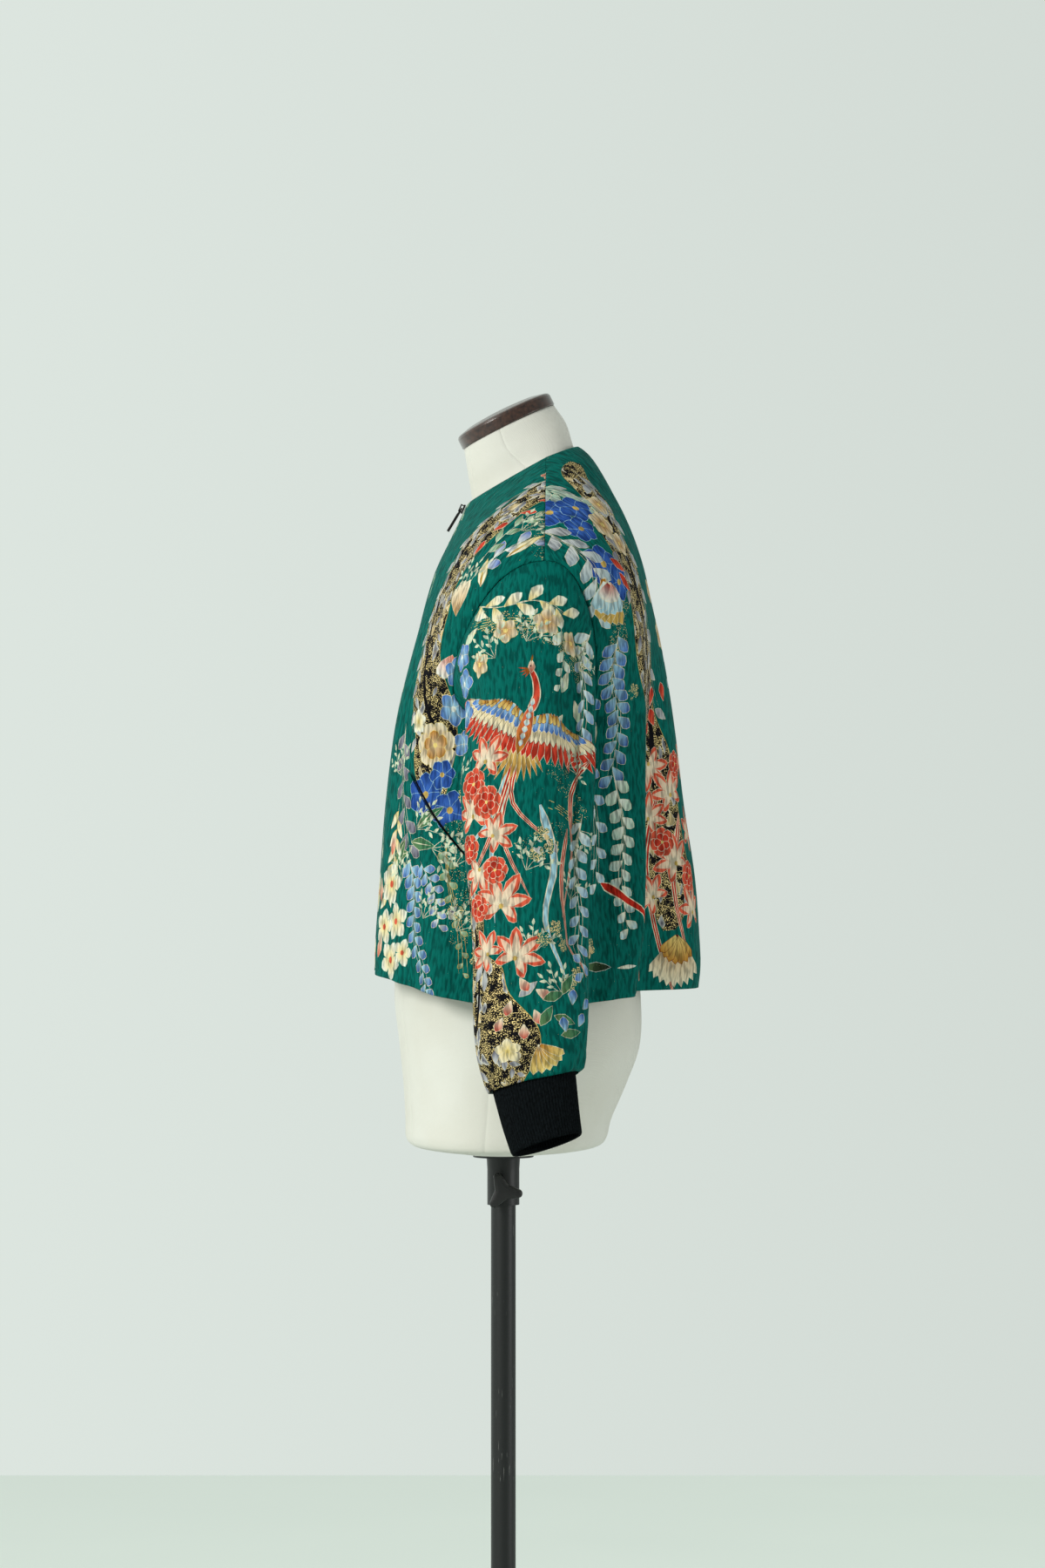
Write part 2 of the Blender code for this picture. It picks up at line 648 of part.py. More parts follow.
def make_pull(finish):
    """The pull tab: an eye round the slider's bridge, then a bar with a round end."""
    hinge = pull_hinge()
    across = Vector((1, 0, 0))
    hang = Vector((0, -sin(PULL_LEAN), -cos(PULL_LEAN)))
    out = hang.cross(across).normalized()
    outline = [(PULL_EYE_HALF[1], -PULL_BAR), (PULL_EYE_HALF[1], PULL_EYE)]
    outline.append((PULL_HALF_WIDTH, PULL_EYE + PULL_SHOULDER))
    for i in range(PULL_END_STEPS + 1):
        turn = pi / 2 * i / PULL_END_STEPS
        outline.append(
            (
                PULL_HALF_WIDTH * cos(turn),
                PULL_LENGTH - PULL_HALF_WIDTH + PULL_HALF_WIDTH * sin(turn),
            )
        )
    whole = outline + [(-x, s) for x, s in reversed(outline[:-1])]
    rings = []
    for side in (-1, 1):
        ring = []
        for x, s in whole:
            thick = PULL_BAR if s <= PULL_EYE else PULL_HALF_THICK
            ring.append(hinge + across * x + hang * s + out * (thick * side))
        rings.append(ring)
    tab = object_of("zip_pull_tab", lofted(rings), finish, origin=hinge)
    eye = bmesh.new()
    half_length = (PULL_EYE - PULL_EYE_FRAME - PULL_BAR) / 2
    half = (PULL_EYE_HALF[0], half_length, 3 * PULL_HALF_THICK)
    block(eye, hinge + hang * (PULL_BAR + half_length), half, (across, hang, out))
    apply_booleans(tab, [("DIFFERENCE", object_of("eye_gap", eye, finish))])


def seat_row(seat):
    """A row of the form that carries the jacket: its ridge lies just inside the cloth."""
    row = row_at(BODY, seat.level)
    above = int(seat.level)
    inside = -(CLOTH + SEAM_GAP)
    ridge = body_point(90, above, out=inside).lerp(
        body_point(90, above + 1, out=inside), seat.level - above
    )
    return row._replace(
        front_y=row.front_y + CLOTH + seat.front_clear,
        side_x=ridge.x,
        side_y=ridge.y,
        side_z=ridge.z,
        back_y=row.back_y - CLOTH - seat.back_clear,
        front_z=row.front_z - seat.front_clear / 2,
        back_z=row.back_z - seat.back_clear / 2,
        ease=FORM_EASE,
    )


def make_form(finish):
    """One smooth solid from the neck to its base, with a blind bore for the pole."""
    table = NECK + [seat_row(seat) for seat in SHOULDER_SEATS] + TORSO
    angles = [360 * k / FORM_COLUMNS for k in range(FORM_COLUMNS)]
    rings = [[ring_point(row, angle) for angle in angles] for row in table]
    for radius, height in (
        (FORM_FLAT_RADIUS, FORM_BOTTOM),
        (BORE_RADIUS, FORM_BOTTOM),
        (BORE_RADIUS, BORE_TOP),
    ):
        ring = [
            Vector((radius * sin(radians(a)), -radius * cos(radians(a)), height))
            for a in angles
        ]
        rings.append(ring)
    object_of("dress_form", lofted(rings), finish)


def turned(profile, steps, centre=Vector((0, 0, 0)), tilt=0.0):
    """A solid turned round the Z axis from (radius, height) points, then tilted and placed.

    A profile that starts and ends on the axis is closed there, any other one is a ring."""
    rings = []
    for radius, height in profile:
        rings.append(
            [
                Vector((radius * cos(2 * pi * k / steps), radius * sin(2 * pi * k / steps), height))
                for k in range(steps)
            ]
        )
    place = Matrix.Translation(centre) @ Matrix.Rotation(tilt, 4, "X")
    bm = bmesh.new()
    rows = [[bm.verts.new(place @ point) for point in ring] for ring in rings]
    pairs = list(zip(rows, rows[1:]))
    is_ring = profile[0] == profile[-1]
    if is_ring:
        pairs = list(zip(rows[:-1], rows[1:-1] + rows[:1]))
        for vertex in rows[-1]:
            bm.verts.remove(vertex)
    for upper, lower in pairs:
        for i in range(steps):
            j = (i + 1) % steps
            bm.faces.new((upper[i], upper[j], lower[j], lower[i]))
    if not is_ring:
        bm.faces.new(rows[0])
        bm.faces.new(rows[-1])
    return bm


def make_neck_cap(finish):
    object_of("neck_cap", turned(CAP_PROFILE, CAP_STEPS, CAP_CENTRE, CAP_TILT), finish)


def make_stand(finish):
    plate = [
        (PLATE_RADIUS, 0.0),
        (PLATE_RADIUS, PLATE_THICK - PLATE_CHAMFER),
        (PLATE_RADIUS - PLATE_CHAMFER, PLATE_THICK),
    ]
    object_of("base_plate", turned(plate, ROUND_STEPS), finish)
    foot_bottom = PLATE_THICK + SEAM_GAP
    bore = POLE_RADIUS + POLE_FIT
    foot = [
        (FOOT_RADIUS, foot_bottom),
        (FOOT_RADIUS, foot_bottom + FOOT_SKIRT),
        (FOOT_NECK, foot_bottom + FOOT_SHOULDER),
        (FOOT_NECK, foot_bottom + FOOT_HEIGHT - EDGE),
        (FOOT_NECK - EDGE, foot_bottom + FOOT_HEIGHT),
        (bore, foot_bottom + FOOT_HEIGHT),
        (bore, foot_bottom),
        (FOOT_RADIUS, foot_bottom),
    ]
    object_of("foot_socket", turned(foot, POLE_STEPS), finish)
    pole = [
        (POLE_RADIUS - EDGE, foot_bottom),
        (POLE_RADIUS, foot_bottom + EDGE),
        (POLE_RADIUS, POLE_TOP - EDGE),
        (POLE_RADIUS - EDGE, POLE_TOP),
    ]
    object_of("pole", turned(pole, POLE_STEPS), finish)


def make_collar(finish):
    """Tube and flange under the form, with a threaded boss for the clamp screw."""
    top = FORM_BOTTOM - SEAM_GAP
    under = top - FLANGE_THICK
    bore = POLE_RADIUS + POLE_FIT
    profile = [
        (FLANGE_RADIUS, top),
        (FLANGE_RADIUS, under),
        (COLLAR_FLARE, under),
        (COLLAR_RADIUS, under - COLLAR_FLARE_LENGTH),
        (COLLAR_RADIUS, COLLAR_BOTTOM + EDGE),
        (COLLAR_RADIUS - EDGE, COLLAR_BOTTOM),
        (bore, COLLAR_BOTTOM),
        (bore, top),
        (FLANGE_RADIUS, top),
    ]
    collar = object_of("clamp_collar", turned(profile, POLE_STEPS), finish)
    inside = (bore + COLLAR_RADIUS) / 2
    boss = object_of("boss", along_x(BOSS_RADIUS, inside, BOSS_REACH), finish)
    hole_radius = SCREW_RADIUS + SCREW_FIT
    hole = along_x(hole_radius, POLE_RADIUS - hole_radius, BOSS_REACH + hole_radius)
    cutter = object_of("screw_hole", hole, finish)
    apply_booleans(collar, [("UNION", boss), ("DIFFERENCE", cutter)])


def along_x(radius, start, end):
    """A round bar along the X axis at the clamp screw's height."""
    bm = bmesh.new()
    middle = Matrix.Translation(((start + end) / 2, 0, SCREW_HEIGHT))
    bmesh.ops.create_cone(
        bm,
        cap_ends=True,
        segments=SCREW_STEPS,
        radius1=radius,
        radius2=radius,
        depth=end - start,
        matrix=middle @ Matrix.Rotation(pi / 2, 4, "Y"),
    )
    return bm


def make_knob(finish):
    """Three round-ended arms joined by hollow curves, with the clamp screw behind."""
    base = Vector((BOSS_REACH + SEAM_GAP, 0, SCREW_HEIGHT))
    apart = 2 * pi / KNOB_ARMS
    points = []
    for arm in range(KNOB_ARMS):
        middle = KNOB_TURN + arm * apart
        for i in range(KNOB_END_STEPS + 1):
            bend = pi * i / KNOB_END_STEPS - pi / 2
            reach = KNOB_ARM - KNOB_ARM_HALF + KNOB_ARM_HALF * cos(bend)
            points.append((middle, reach, KNOB_ARM_HALF * sin(bend)))
        for hollow in KNOB_HOLLOWS:
            points.append((middle + apart * hollow.share, hollow.reach, 0.0))
    rings = []
    for step in KNOB_RINGS:
        ring = []
        for turn, reach, side in points:
            y = reach * cos(turn) - side * sin(turn)
            z = reach * sin(turn) + side * cos(turn)
            ring.append(base + Vector((step.depth, y * step.scale, z * step.scale)))
        rings.append(ring)
    knob = object_of("clamp_knob", lofted(rings), finish, origin=base)
    tip = POLE_RADIUS + POLE_FIT
    stem = object_of("screw", along_x(SCREW_RADIUS, tip, BOSS_REACH + SCREW_RADIUS), finish)
    apply_booleans(knob, [("UNION", stem)])


def main():
    for old in list(bpy.data.objects):
        bpy.data.objects.remove(old, do_unlink=True)
    crepe = material("kimono crepe", (0.02, 0.16, 0.13), 0.75)
    knit = material("rib knit", (0.012, 0.014, 0.018), 0.85)
    tape = material("zip tape", (0.02, 0.02, 0.02), 0.7)
    black_metal = material("blackened metal", (0.03, 0.03, 0.03), 0.35, 0.9)
    canvas = material("ivory canvas", (0.80, 0.77, 0.68), 0.85)
    walnut = material("dark walnut", (0.07, 0.035, 0.02), 0.4)
    steel = material("black powder-coated steel", (0.02, 0.02, 0.022), 0.45, 0.2)
    moulding = material("black moulding", (0.015, 0.015, 0.015), 0.4)
    make_fronts(crepe)
    make_back(crepe)
    make_sleeves(crepe)
    make_cuffs(knit)
    make_pocket_welts(crepe)
    make_zip(tape)
    make_slider(black_metal)
    make_pull(black_metal)
    make_form(canvas)
    make_neck_cap(walnut)
    make_stand(steel)
    make_collar(steel)
    make_knob(moulding)


main()
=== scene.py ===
# %% [markdown]
# # A printed kimono-cloth jacket on a dress form
# The jacket is zipped up and hollow. A canvas form wears it, and the form stands on a
# pole. Its measured solids are loaded first, as a fixed frame. Each piece made below
# sits where its solid is, and only adds what cloth, canvas, wood and steel look like.

# %% Load the measured frame
import json
from math import cos, degrees, hypot, pi, radians, sin, tau

import bmesh
import bpy
import numpy as np
from mathutils import Matrix, Vector
from mathutils.bvhtree import BVHTree
from mathutils.geometry import delaunay_2d_cdt

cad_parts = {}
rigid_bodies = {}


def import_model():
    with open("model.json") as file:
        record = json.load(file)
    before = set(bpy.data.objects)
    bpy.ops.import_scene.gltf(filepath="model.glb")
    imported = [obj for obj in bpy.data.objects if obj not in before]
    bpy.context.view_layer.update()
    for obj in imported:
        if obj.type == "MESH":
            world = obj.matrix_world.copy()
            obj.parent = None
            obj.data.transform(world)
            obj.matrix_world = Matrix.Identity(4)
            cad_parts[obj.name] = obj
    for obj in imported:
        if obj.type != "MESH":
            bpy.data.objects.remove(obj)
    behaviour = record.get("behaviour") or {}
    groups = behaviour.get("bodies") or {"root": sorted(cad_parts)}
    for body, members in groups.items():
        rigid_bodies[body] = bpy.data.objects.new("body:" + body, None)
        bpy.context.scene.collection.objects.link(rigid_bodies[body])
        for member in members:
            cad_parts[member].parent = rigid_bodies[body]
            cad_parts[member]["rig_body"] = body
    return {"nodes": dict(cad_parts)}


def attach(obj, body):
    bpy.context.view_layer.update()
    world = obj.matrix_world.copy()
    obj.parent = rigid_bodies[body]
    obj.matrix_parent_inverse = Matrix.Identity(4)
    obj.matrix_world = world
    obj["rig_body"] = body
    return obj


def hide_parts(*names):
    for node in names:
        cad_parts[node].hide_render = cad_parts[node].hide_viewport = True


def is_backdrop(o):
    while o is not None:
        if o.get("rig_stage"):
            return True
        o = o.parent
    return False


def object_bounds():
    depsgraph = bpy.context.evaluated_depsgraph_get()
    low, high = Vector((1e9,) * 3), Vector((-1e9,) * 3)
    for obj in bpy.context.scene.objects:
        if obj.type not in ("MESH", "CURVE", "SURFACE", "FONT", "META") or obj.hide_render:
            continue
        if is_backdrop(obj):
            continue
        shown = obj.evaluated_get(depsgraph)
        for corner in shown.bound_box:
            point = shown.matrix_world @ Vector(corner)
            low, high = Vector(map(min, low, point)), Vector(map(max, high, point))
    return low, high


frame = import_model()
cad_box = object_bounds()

print("nodes to dress:", len(frame["nodes"]))

# %% [markdown]
# ## The camera and the light
# The jacket is seen square from the wearer's left, from far away, so that nothing is
# distorted. A long lens does that: at 5.5 m, 125 mm on a 36 mm frame takes in 1.6 m.
# The room is a pale grey-green that also lights the cloth softly. It is brighter on the
# wearer's front side and on the far side, which the camera looks at, so two ranges of
# the direction are multiplied. A square light stands by the wearer's front, so that the
# back edges fall off, and a weak one stands behind.

# %% Camera, room and light
VIEW_DISTANCE = 5.5
VIEW_CENTRE = (0.0193, 1.0754)
ROOM_COLOUR = (0.672, 0.733, 0.690)


def area_light(name, place, target, size, watts, colour=(1, 1, 1)):
    """A soft square light that looks at a point."""
    lamp = bpy.data.lights.new(name, "AREA")
    lamp.size = size
    lamp.energy = watts
    lamp.color = colour
    made = bpy.data.objects.new(name, lamp)
    made.location = place
    made.rotation_euler = (Vector(target) - Vector(place)).to_track_quat("-Z", "Y").to_euler()
    bpy.context.scene.collection.objects.link(made)


lens = bpy.data.cameras.new("side view")
lens.sensor_fit = "VERTICAL"
lens.sensor_height = 36
lens.lens = 125.4
camera = bpy.data.objects.new("side view", lens)
camera.location = (VIEW_DISTANCE, *VIEW_CENTRE)
camera.rotation_euler = (pi / 2, 0, pi / 2)
bpy.context.scene.collection.objects.link(camera)
bpy.context.scene.camera = camera

room = bpy.data.worlds.new("pale room")
room.use_nodes = True
room.node_tree.nodes["Background"].inputs["Color"].default_value = (*ROOM_COLOUR, 1)
nodes, links = room.node_tree.nodes, room.node_tree.links
direction = nodes.new("ShaderNodeSeparateXYZ")
links.new(nodes.new("ShaderNodeTexCoord").outputs["Generated"], direction.inputs["Vector"])
strength = nodes.new("ShaderNodeMath")
strength.operation = "MULTIPLY"
# For each axis: where the change starts, and the strength at its start and its end.
for k, (axis, start, *strengths) in enumerate((("Y", -1.0, 1.54, 0.50), ("X", -0.8, 1.0, 0.50))):
    change = nodes.new("ShaderNodeMapRange")
    for socket, value in zip(("From Min", "To Min", "To Max"), (start, *strengths)):
        change.inputs[socket].default_value = value
    links.new(direction.outputs[axis], change.inputs["Value"])
    links.new(change.outputs["Result"], strength.inputs[k])
links.new(strength.outputs["Value"], nodes["Background"].inputs["Strength"])
bpy.context.scene.view_settings.view_transform = "Standard"
bpy.context.scene.world = room

area_light("window light", (3.0, -2.9, 2.7), (0, 0, 1.1), 1.3, 118, (1.0, 0.985, 0.95))
area_light("fill light", (1.3, 3.6, 1.2), (0, 0, 0.9), 1.8, 36)
print("camera at", tuple(round(v, 3) for v in camera.location))

# %% [markdown]
# ## Smooth shapes from short tables
# The jacket's body is described by one row a level, from the neckline to the hem. A row
# is a ring round the wearer: where its front, side and back are, and how square it is.
# Between rows a smooth curve is followed, so that a few numbers give any point of the
# cloth. The same tables made the measured solids, and here they give a finer mesh.

# %% Rows of the body, the sleeve and the cuff
# front_y, front_z, side_x, side_y, side_z, back_y, back_z, front_round, back_round, ease
BODY = [
    (-0.0360, 1.358, 0.072, 0.0427, 1.401, 0.0765, 1.415, 1.00, 1.00, 1.0),
    (-0.0460, 1.336, 0.100, 0.0425, 1.388, 0.0900, 1.402, 0.95, 0.95, 1.1),
    (-0.0570, 1.313, 0.135, 0.0420, 1.370, 0.1070, 1.374, 0.88, 0.88, 1.2),
    (-0.0680, 1.288, 0.172, 0.0415, 1.347, 0.1220, 1.343, 0.80, 0.80, 1.3),
    (-0.0770, 1.258, 0.205, 0.0410, 1.318, 0.1340, 1.312, 0.80, 0.80, 1.3),
    (-0.0840, 1.230, 0.228, 0.0403, 1.291, 0.1430, 1.279, 0.78, 0.78, 1.3),
    (-0.0950, 1.190, 0.216, 0.0380, 1.240, 0.1500, 1.235, 0.70, 0.67, 1.3),
    (-0.1050, 1.150, 0.196, 0.0340, 1.185, 0.1520, 1.180, 0.62, 0.58, 1.3),
    (-0.1120, 1.108, 0.178, 0.0290, 1.136, 0.1505, 1.125, 0.58, 0.53, 1.3),
    (-0.1190, 1.045, 0.181, 0.0270, 1.065, 0.1495, 1.052, 0.62, 0.56, 1.3),
    (-0.1240, 0.975, 0.190, 0.0260, 0.990, 0.1500, 0.983, 0.66, 0.60, 1.3),
    (-0.1280, 0.917, 0.200, 0.0250, 0.910, 0.1460, 0.915, 0.70, 0.64, 1.3),
    (-0.1285, 0.889, 0.205, 0.0250, 0.858, 0.1400, 0.871, 0.73, 0.67, 1.3),
]
# outer_x, outer_z, inner_x, inner_z, front_y, back_y, back_lift
SLEEVE = [
    (0.228, 1.291, 0.178, 1.136, -0.0450, 0.0890, 0.000),
    (0.248, 1.252, 0.180, 1.127, -0.0430, 0.0890, 0.000),
    (0.262, 1.205, 0.183, 1.113, -0.0370, 0.0890, 0.000),
    (0.274, 1.150, 0.187, 1.090, -0.0365, 0.0885, 0.000),
    (0.286, 1.085, 0.194, 1.052, -0.0405, 0.0880, 0.000),
    (0.299, 1.010, 0.206, 0.990, -0.0360, 0.0850, 0.000),
    (0.314, 0.930, 0.226, 0.918, -0.0285, 0.0830, 0.001),
    (0.328, 0.860, 0.246, 0.852, -0.0275, 0.0820, 0.003),
    (0.334, 0.822, 0.257, 0.818, -0.0240, 0.0805, 0.005),
    (0.3315, 0.802, 0.261, 0.796, -0.0180, 0.0795, 0.008),
    (0.3275, 0.796, 0.2625, 0.785, -0.0135, 0.0730, 0.010),
]
CUFF = [
    (0.3240, 0.8000, 0.2660, 0.7890, -0.0095, 0.0690, 0.0095),
    (0.3330, 0.7640, 0.2760, 0.7525, 0.0005, 0.0725, 0.0090),
    (0.3390, 0.7390, 0.2860, 0.7260, 0.0095, 0.0755, 0.0100),
]
HEM = len(BODY) - 1.0
SLEEVE_END = len(SLEEVE) - 1.0
ARMHOLE_TOP, UNDERARM = 5.0, 8.0
ARMHOLE_FRONT_DEG, ARMHOLE_BACK_DEG = 27.1, 17.0
ARMHOLE_EASE = 2.2
CLOTH = 0.0012
SEAM_GAP = 0.0003

# %% Folds
# Body: where round the ring, half width, depth outwards, levels where it starts and is full.
BODY_FOLDS = [
    (180, 19, 0.057, 5.7, 11.5), (162, 11, -0.007, 5.9, 8.5), (140, 10, 0.009, 5.6, 9.0),
    (116, 12, -0.009, 7.6, 10.5), (101, 9, 0.006, 8.2, 11.0), (62, 11, 0.006, 8.6, 11.5),
    (47, 9, -0.005, 8.8, 11.5), (22, 12, 0.004, 3.0, 8.0),
]
# Sleeve: the same, with the level where it has ended. 0 is the outer side, 90 the front.
SLEEVE_FOLDS = [
    (325, 24, -0.010, 0.5, 2.5, 6.0), (299, 16, 0.004, 0.8, 2.5, 6.5),
    (62, 20, -0.004, 0.8, 2.0, 4.5), (357, 15, -0.006, 7.0, 8.6, 9.6),
    (150, 22, -0.006, 1.0, 3.0, 6.0), (215, 20, -0.006, 1.5, 4.0, 8.0),
]
GATHERS, GATHER_DEPTH, GATHERS_START, GATHERS_FULL = 8, 0.0022, 8.0, 8.8
FOLD_SOFTNESS = 0.06


def rows_at(table, levels):
    """Rows at any levels, on a smooth curve through the table's own rows."""
    table = np.array(table, float)
    levels = np.asarray(levels, float)
    below = np.clip(levels.astype(int), 0, len(table) - 2)
    step = (levels - below)[:, None]
    rows = np.vstack([2 * table[0] - table[1], table, 2 * table[-1] - table[-2]])
    a, b, c, d = (rows[below + k] for k in range(4))
    bend = (2 * a - 5 * b + 4 * c - d) * step**2
    twist = (3 * b - a - 3 * c + d) * step**3
    return b + ((c - a) * step + bend + twist) / 2


def soft_positive(value):
    return (value + np.sqrt(value**2 + FOLD_SOFTNESS**2)) / 2


def ramp(value, start, end):
    """From 0 to 1 between two levels, with rounded corners."""
    share = (value - start) / (end - start)
    return soft_positive(share) - soft_positive(share - 1)


def bell(offset, half_width):
    return (1 + np.cos(pi * np.minimum(1.0, np.abs(offset) / half_width))) / 2


def turn_between(turn, other):
    return (turn - other + 180) % 360 - 180


def ring_points(rows, angles):
    """Points of rings: angle 0 is the front, 90 the wearer's left side, 180 the back."""
    front_y, front_z, side_x, side_y, side_z, back_y, back_z, front_round, back_round, ease = rows.T
    forward, sideways = np.cos(np.radians(angles)), np.sin(np.radians(angles))
    in_front = forward > 0
    power = np.where(in_front, front_round, back_round)
    x = side_x * np.sign(sideways) * np.abs(sideways) ** power
    y = side_y + (np.where(in_front, front_y, back_y) - side_y) * np.abs(forward) ** power
    z = side_z + (np.where(in_front, front_z, back_z) - side_z) * np.abs(forward) ** ease
    return np.stack([x, y, z], 1)


def unit(vectors):
    return vectors / np.maximum(np.linalg.norm(vectors, axis=1, keepdims=True), 1e-12)


def body_points(angles, levels):
    """Points on the outside of the jacket's body."""
    angles, levels = np.asarray(angles, float), np.asarray(levels, float)
    points = ring_points(rows_at(BODY, levels), angles)
    turn = np.radians(angles)
    outwards = np.stack([np.sin(turn), -np.cos(turn), np.zeros_like(turn)], 1)
    around = np.abs(turn_between(angles, 0))
    for angle, half_width, depth, starts, full in BODY_FOLDS:
        amount = depth * ramp(levels, starts, full) * bell(around - angle, half_width)
        points += outwards * amount[:, None]
    return points


def body_normals(angles, levels):
    angles, levels = np.asarray(angles, float), np.asarray(levels, float)
    around = body_points(angles + 1.5, levels) - body_points(angles - 1.5, levels)
    down = body_points(angles, levels + 0.03) - body_points(angles, levels - 0.03)
    return unit(np.cross(down, around))


# %% The sleeve, from the armhole to the cuff
def section_points(rows, turns):
    outer_x, outer_z, inner_x, inner_z, front_y, back_y, back_lift = rows.T
    along, forward = np.cos(np.radians(turns)), np.sin(np.radians(turns))
    x = (outer_x + inner_x + (outer_x - inner_x) * along) / 2
    y = (front_y + back_y) / 2 - (back_y - front_y) / 2 * forward
    z = (outer_z + inner_z + (outer_z - inner_z) * along) / 2 - back_lift * forward
    return np.stack([x, y, z], 1)


def section_outwards(rows, turns):
    outer_x, outer_z, inner_x, inner_z = rows.T[:4]
    across = unit(np.stack([outer_x - inner_x, 0 * outer_x, outer_z - inner_z], 1))
    turn = np.radians(turns)
    return across * np.cos(turn)[:, None] - np.array([[0, 1, 0]]) * np.sin(turn)[:, None]


def armhole(turns):
    """Angle and level of the armhole seam: 0 is its top, 90 its front edge."""
    turns = np.radians(turns)
    middle, half = (ARMHOLE_TOP + UNDERARM) / 2, (UNDERARM - ARMHOLE_TOP) / 2
    reach = np.where(np.sin(turns) > 0, ARMHOLE_FRONT_DEG, ARMHOLE_BACK_DEG)
    return 90 - reach * np.sin(turns), middle - half * np.cos(turns)


def sleeve_points(turns, levels):
    """Points on the outside of the left sleeve."""
    turns, levels = np.asarray(turns, float), np.asarray(levels, float)
    rows = rows_at(SLEEVE, levels)
    points = section_points(rows, turns)
    outwards = section_outwards(rows, turns)
    for angle, half_width, depth, starts, full, ends in SLEEVE_FOLDS:
        grown = ramp(levels, starts, full) * (1 - ramp(levels, full, ends))
        points += outwards * (depth * grown * bell(turn_between(turns, angle), half_width))[:, None]
    gathered = ramp(levels, GATHERS_START, GATHERS_FULL) * (1 - ramp(levels, GATHERS_FULL, SLEEVE_END))
    wave = np.cos(np.radians(GATHERS * turns + 25 * np.sin(np.radians(3 * turns))))
    points += outwards * (GATHER_DEPTH * gathered * (wave - 1))[:, None]
    share = np.maximum(0.0, 1 - levels / ARMHOLE_EASE) ** 2
    seam_angles, seam_levels = armhole(turns)
    seam = body_points(seam_angles, seam_levels) + SEAM_GAP * body_normals(seam_angles, seam_levels)
    start = section_points(rows_at(SLEEVE, 0 * levels), turns)
    return points + (seam - start) * share[:, None]


def sleeve_normals(turns, levels):
    turns, levels = np.asarray(turns, float), np.asarray(levels, float)
    around = sleeve_points(turns + 2, levels) - sleeve_points(turns - 2, levels)
    down = sleeve_points(turns, levels + 0.02) - sleeve_points(turns, levels - 0.02)
    return unit(np.cross(around, down))


print("hem half girth %.0f mm" % (1000 * np.linalg.norm(np.diff(
    body_points(np.linspace(0, 180, 181), np.full(181, HEM)), axis=0), axis=1).sum()))

# %% [markdown]
# ## From the body back to the flat cut
# Kimono cloth is printed flat and then cut. To print a panel, it is first laid flat
# again: a grid of its points is treated as threads of fixed length, and the threads are
# eased until the flat grid has the lengths of the worn one. That gives the real pattern
# piece, and a motif drawn on it comes out undistorted on the body.

# %% Lay a panel flat
EASING_ROUNDS, EASING_STEP = 1500, 1.6


def eased_flat(worn, start):
    """Flat places for a grid of worn points, so that neighbours keep their distances."""
    flat = start.copy()
    threads = []
    for down, across in ((0, 1), (1, 0), (1, 1), (1, -1)):
        rows, columns = worn.shape[:2]
        a = (slice(0, rows - down), slice(max(0, -across), columns - max(0, across)))
        b = (slice(down, rows), slice(max(0, across), columns + min(0, across)))
        threads.append((a, b, np.linalg.norm(worn[b] - worn[a], axis=2)))
    count = np.zeros(worn.shape[:2])
    for a, b, _ in threads:
        count[a] += 1
        count[b] += 1
    for _ in range(EASING_ROUNDS):
        move = np.zeros_like(flat)
        for a, b, length in threads:
            gap = flat[b] - flat[a]
            now = np.maximum(np.linalg.norm(gap, axis=2), 1e-9)
            pull = gap * ((now - length) / now / 2)[:, :, None]
            move[a] += pull
            move[b] -= pull
        flat += EASING_STEP * move / count[:, :, None]
    return flat


def flat_start(worn, middle):
    """A first guess: distance round each row from a middle column, and distance down it."""
    across = np.linalg.norm(np.diff(worn, axis=1), axis=2)
    places = np.concatenate([np.zeros((len(worn), 1)), np.cumsum(across, axis=1)], 1)
    places -= places[:, middle : middle + 1]
    down = np.linalg.norm(np.diff(worn[:, middle], axis=0), axis=1)
    heights = -np.concatenate([[0.0], np.cumsum(down)])
    return np.stack([places, np.repeat(heights[:, None], worn.shape[1], 1)], 2)


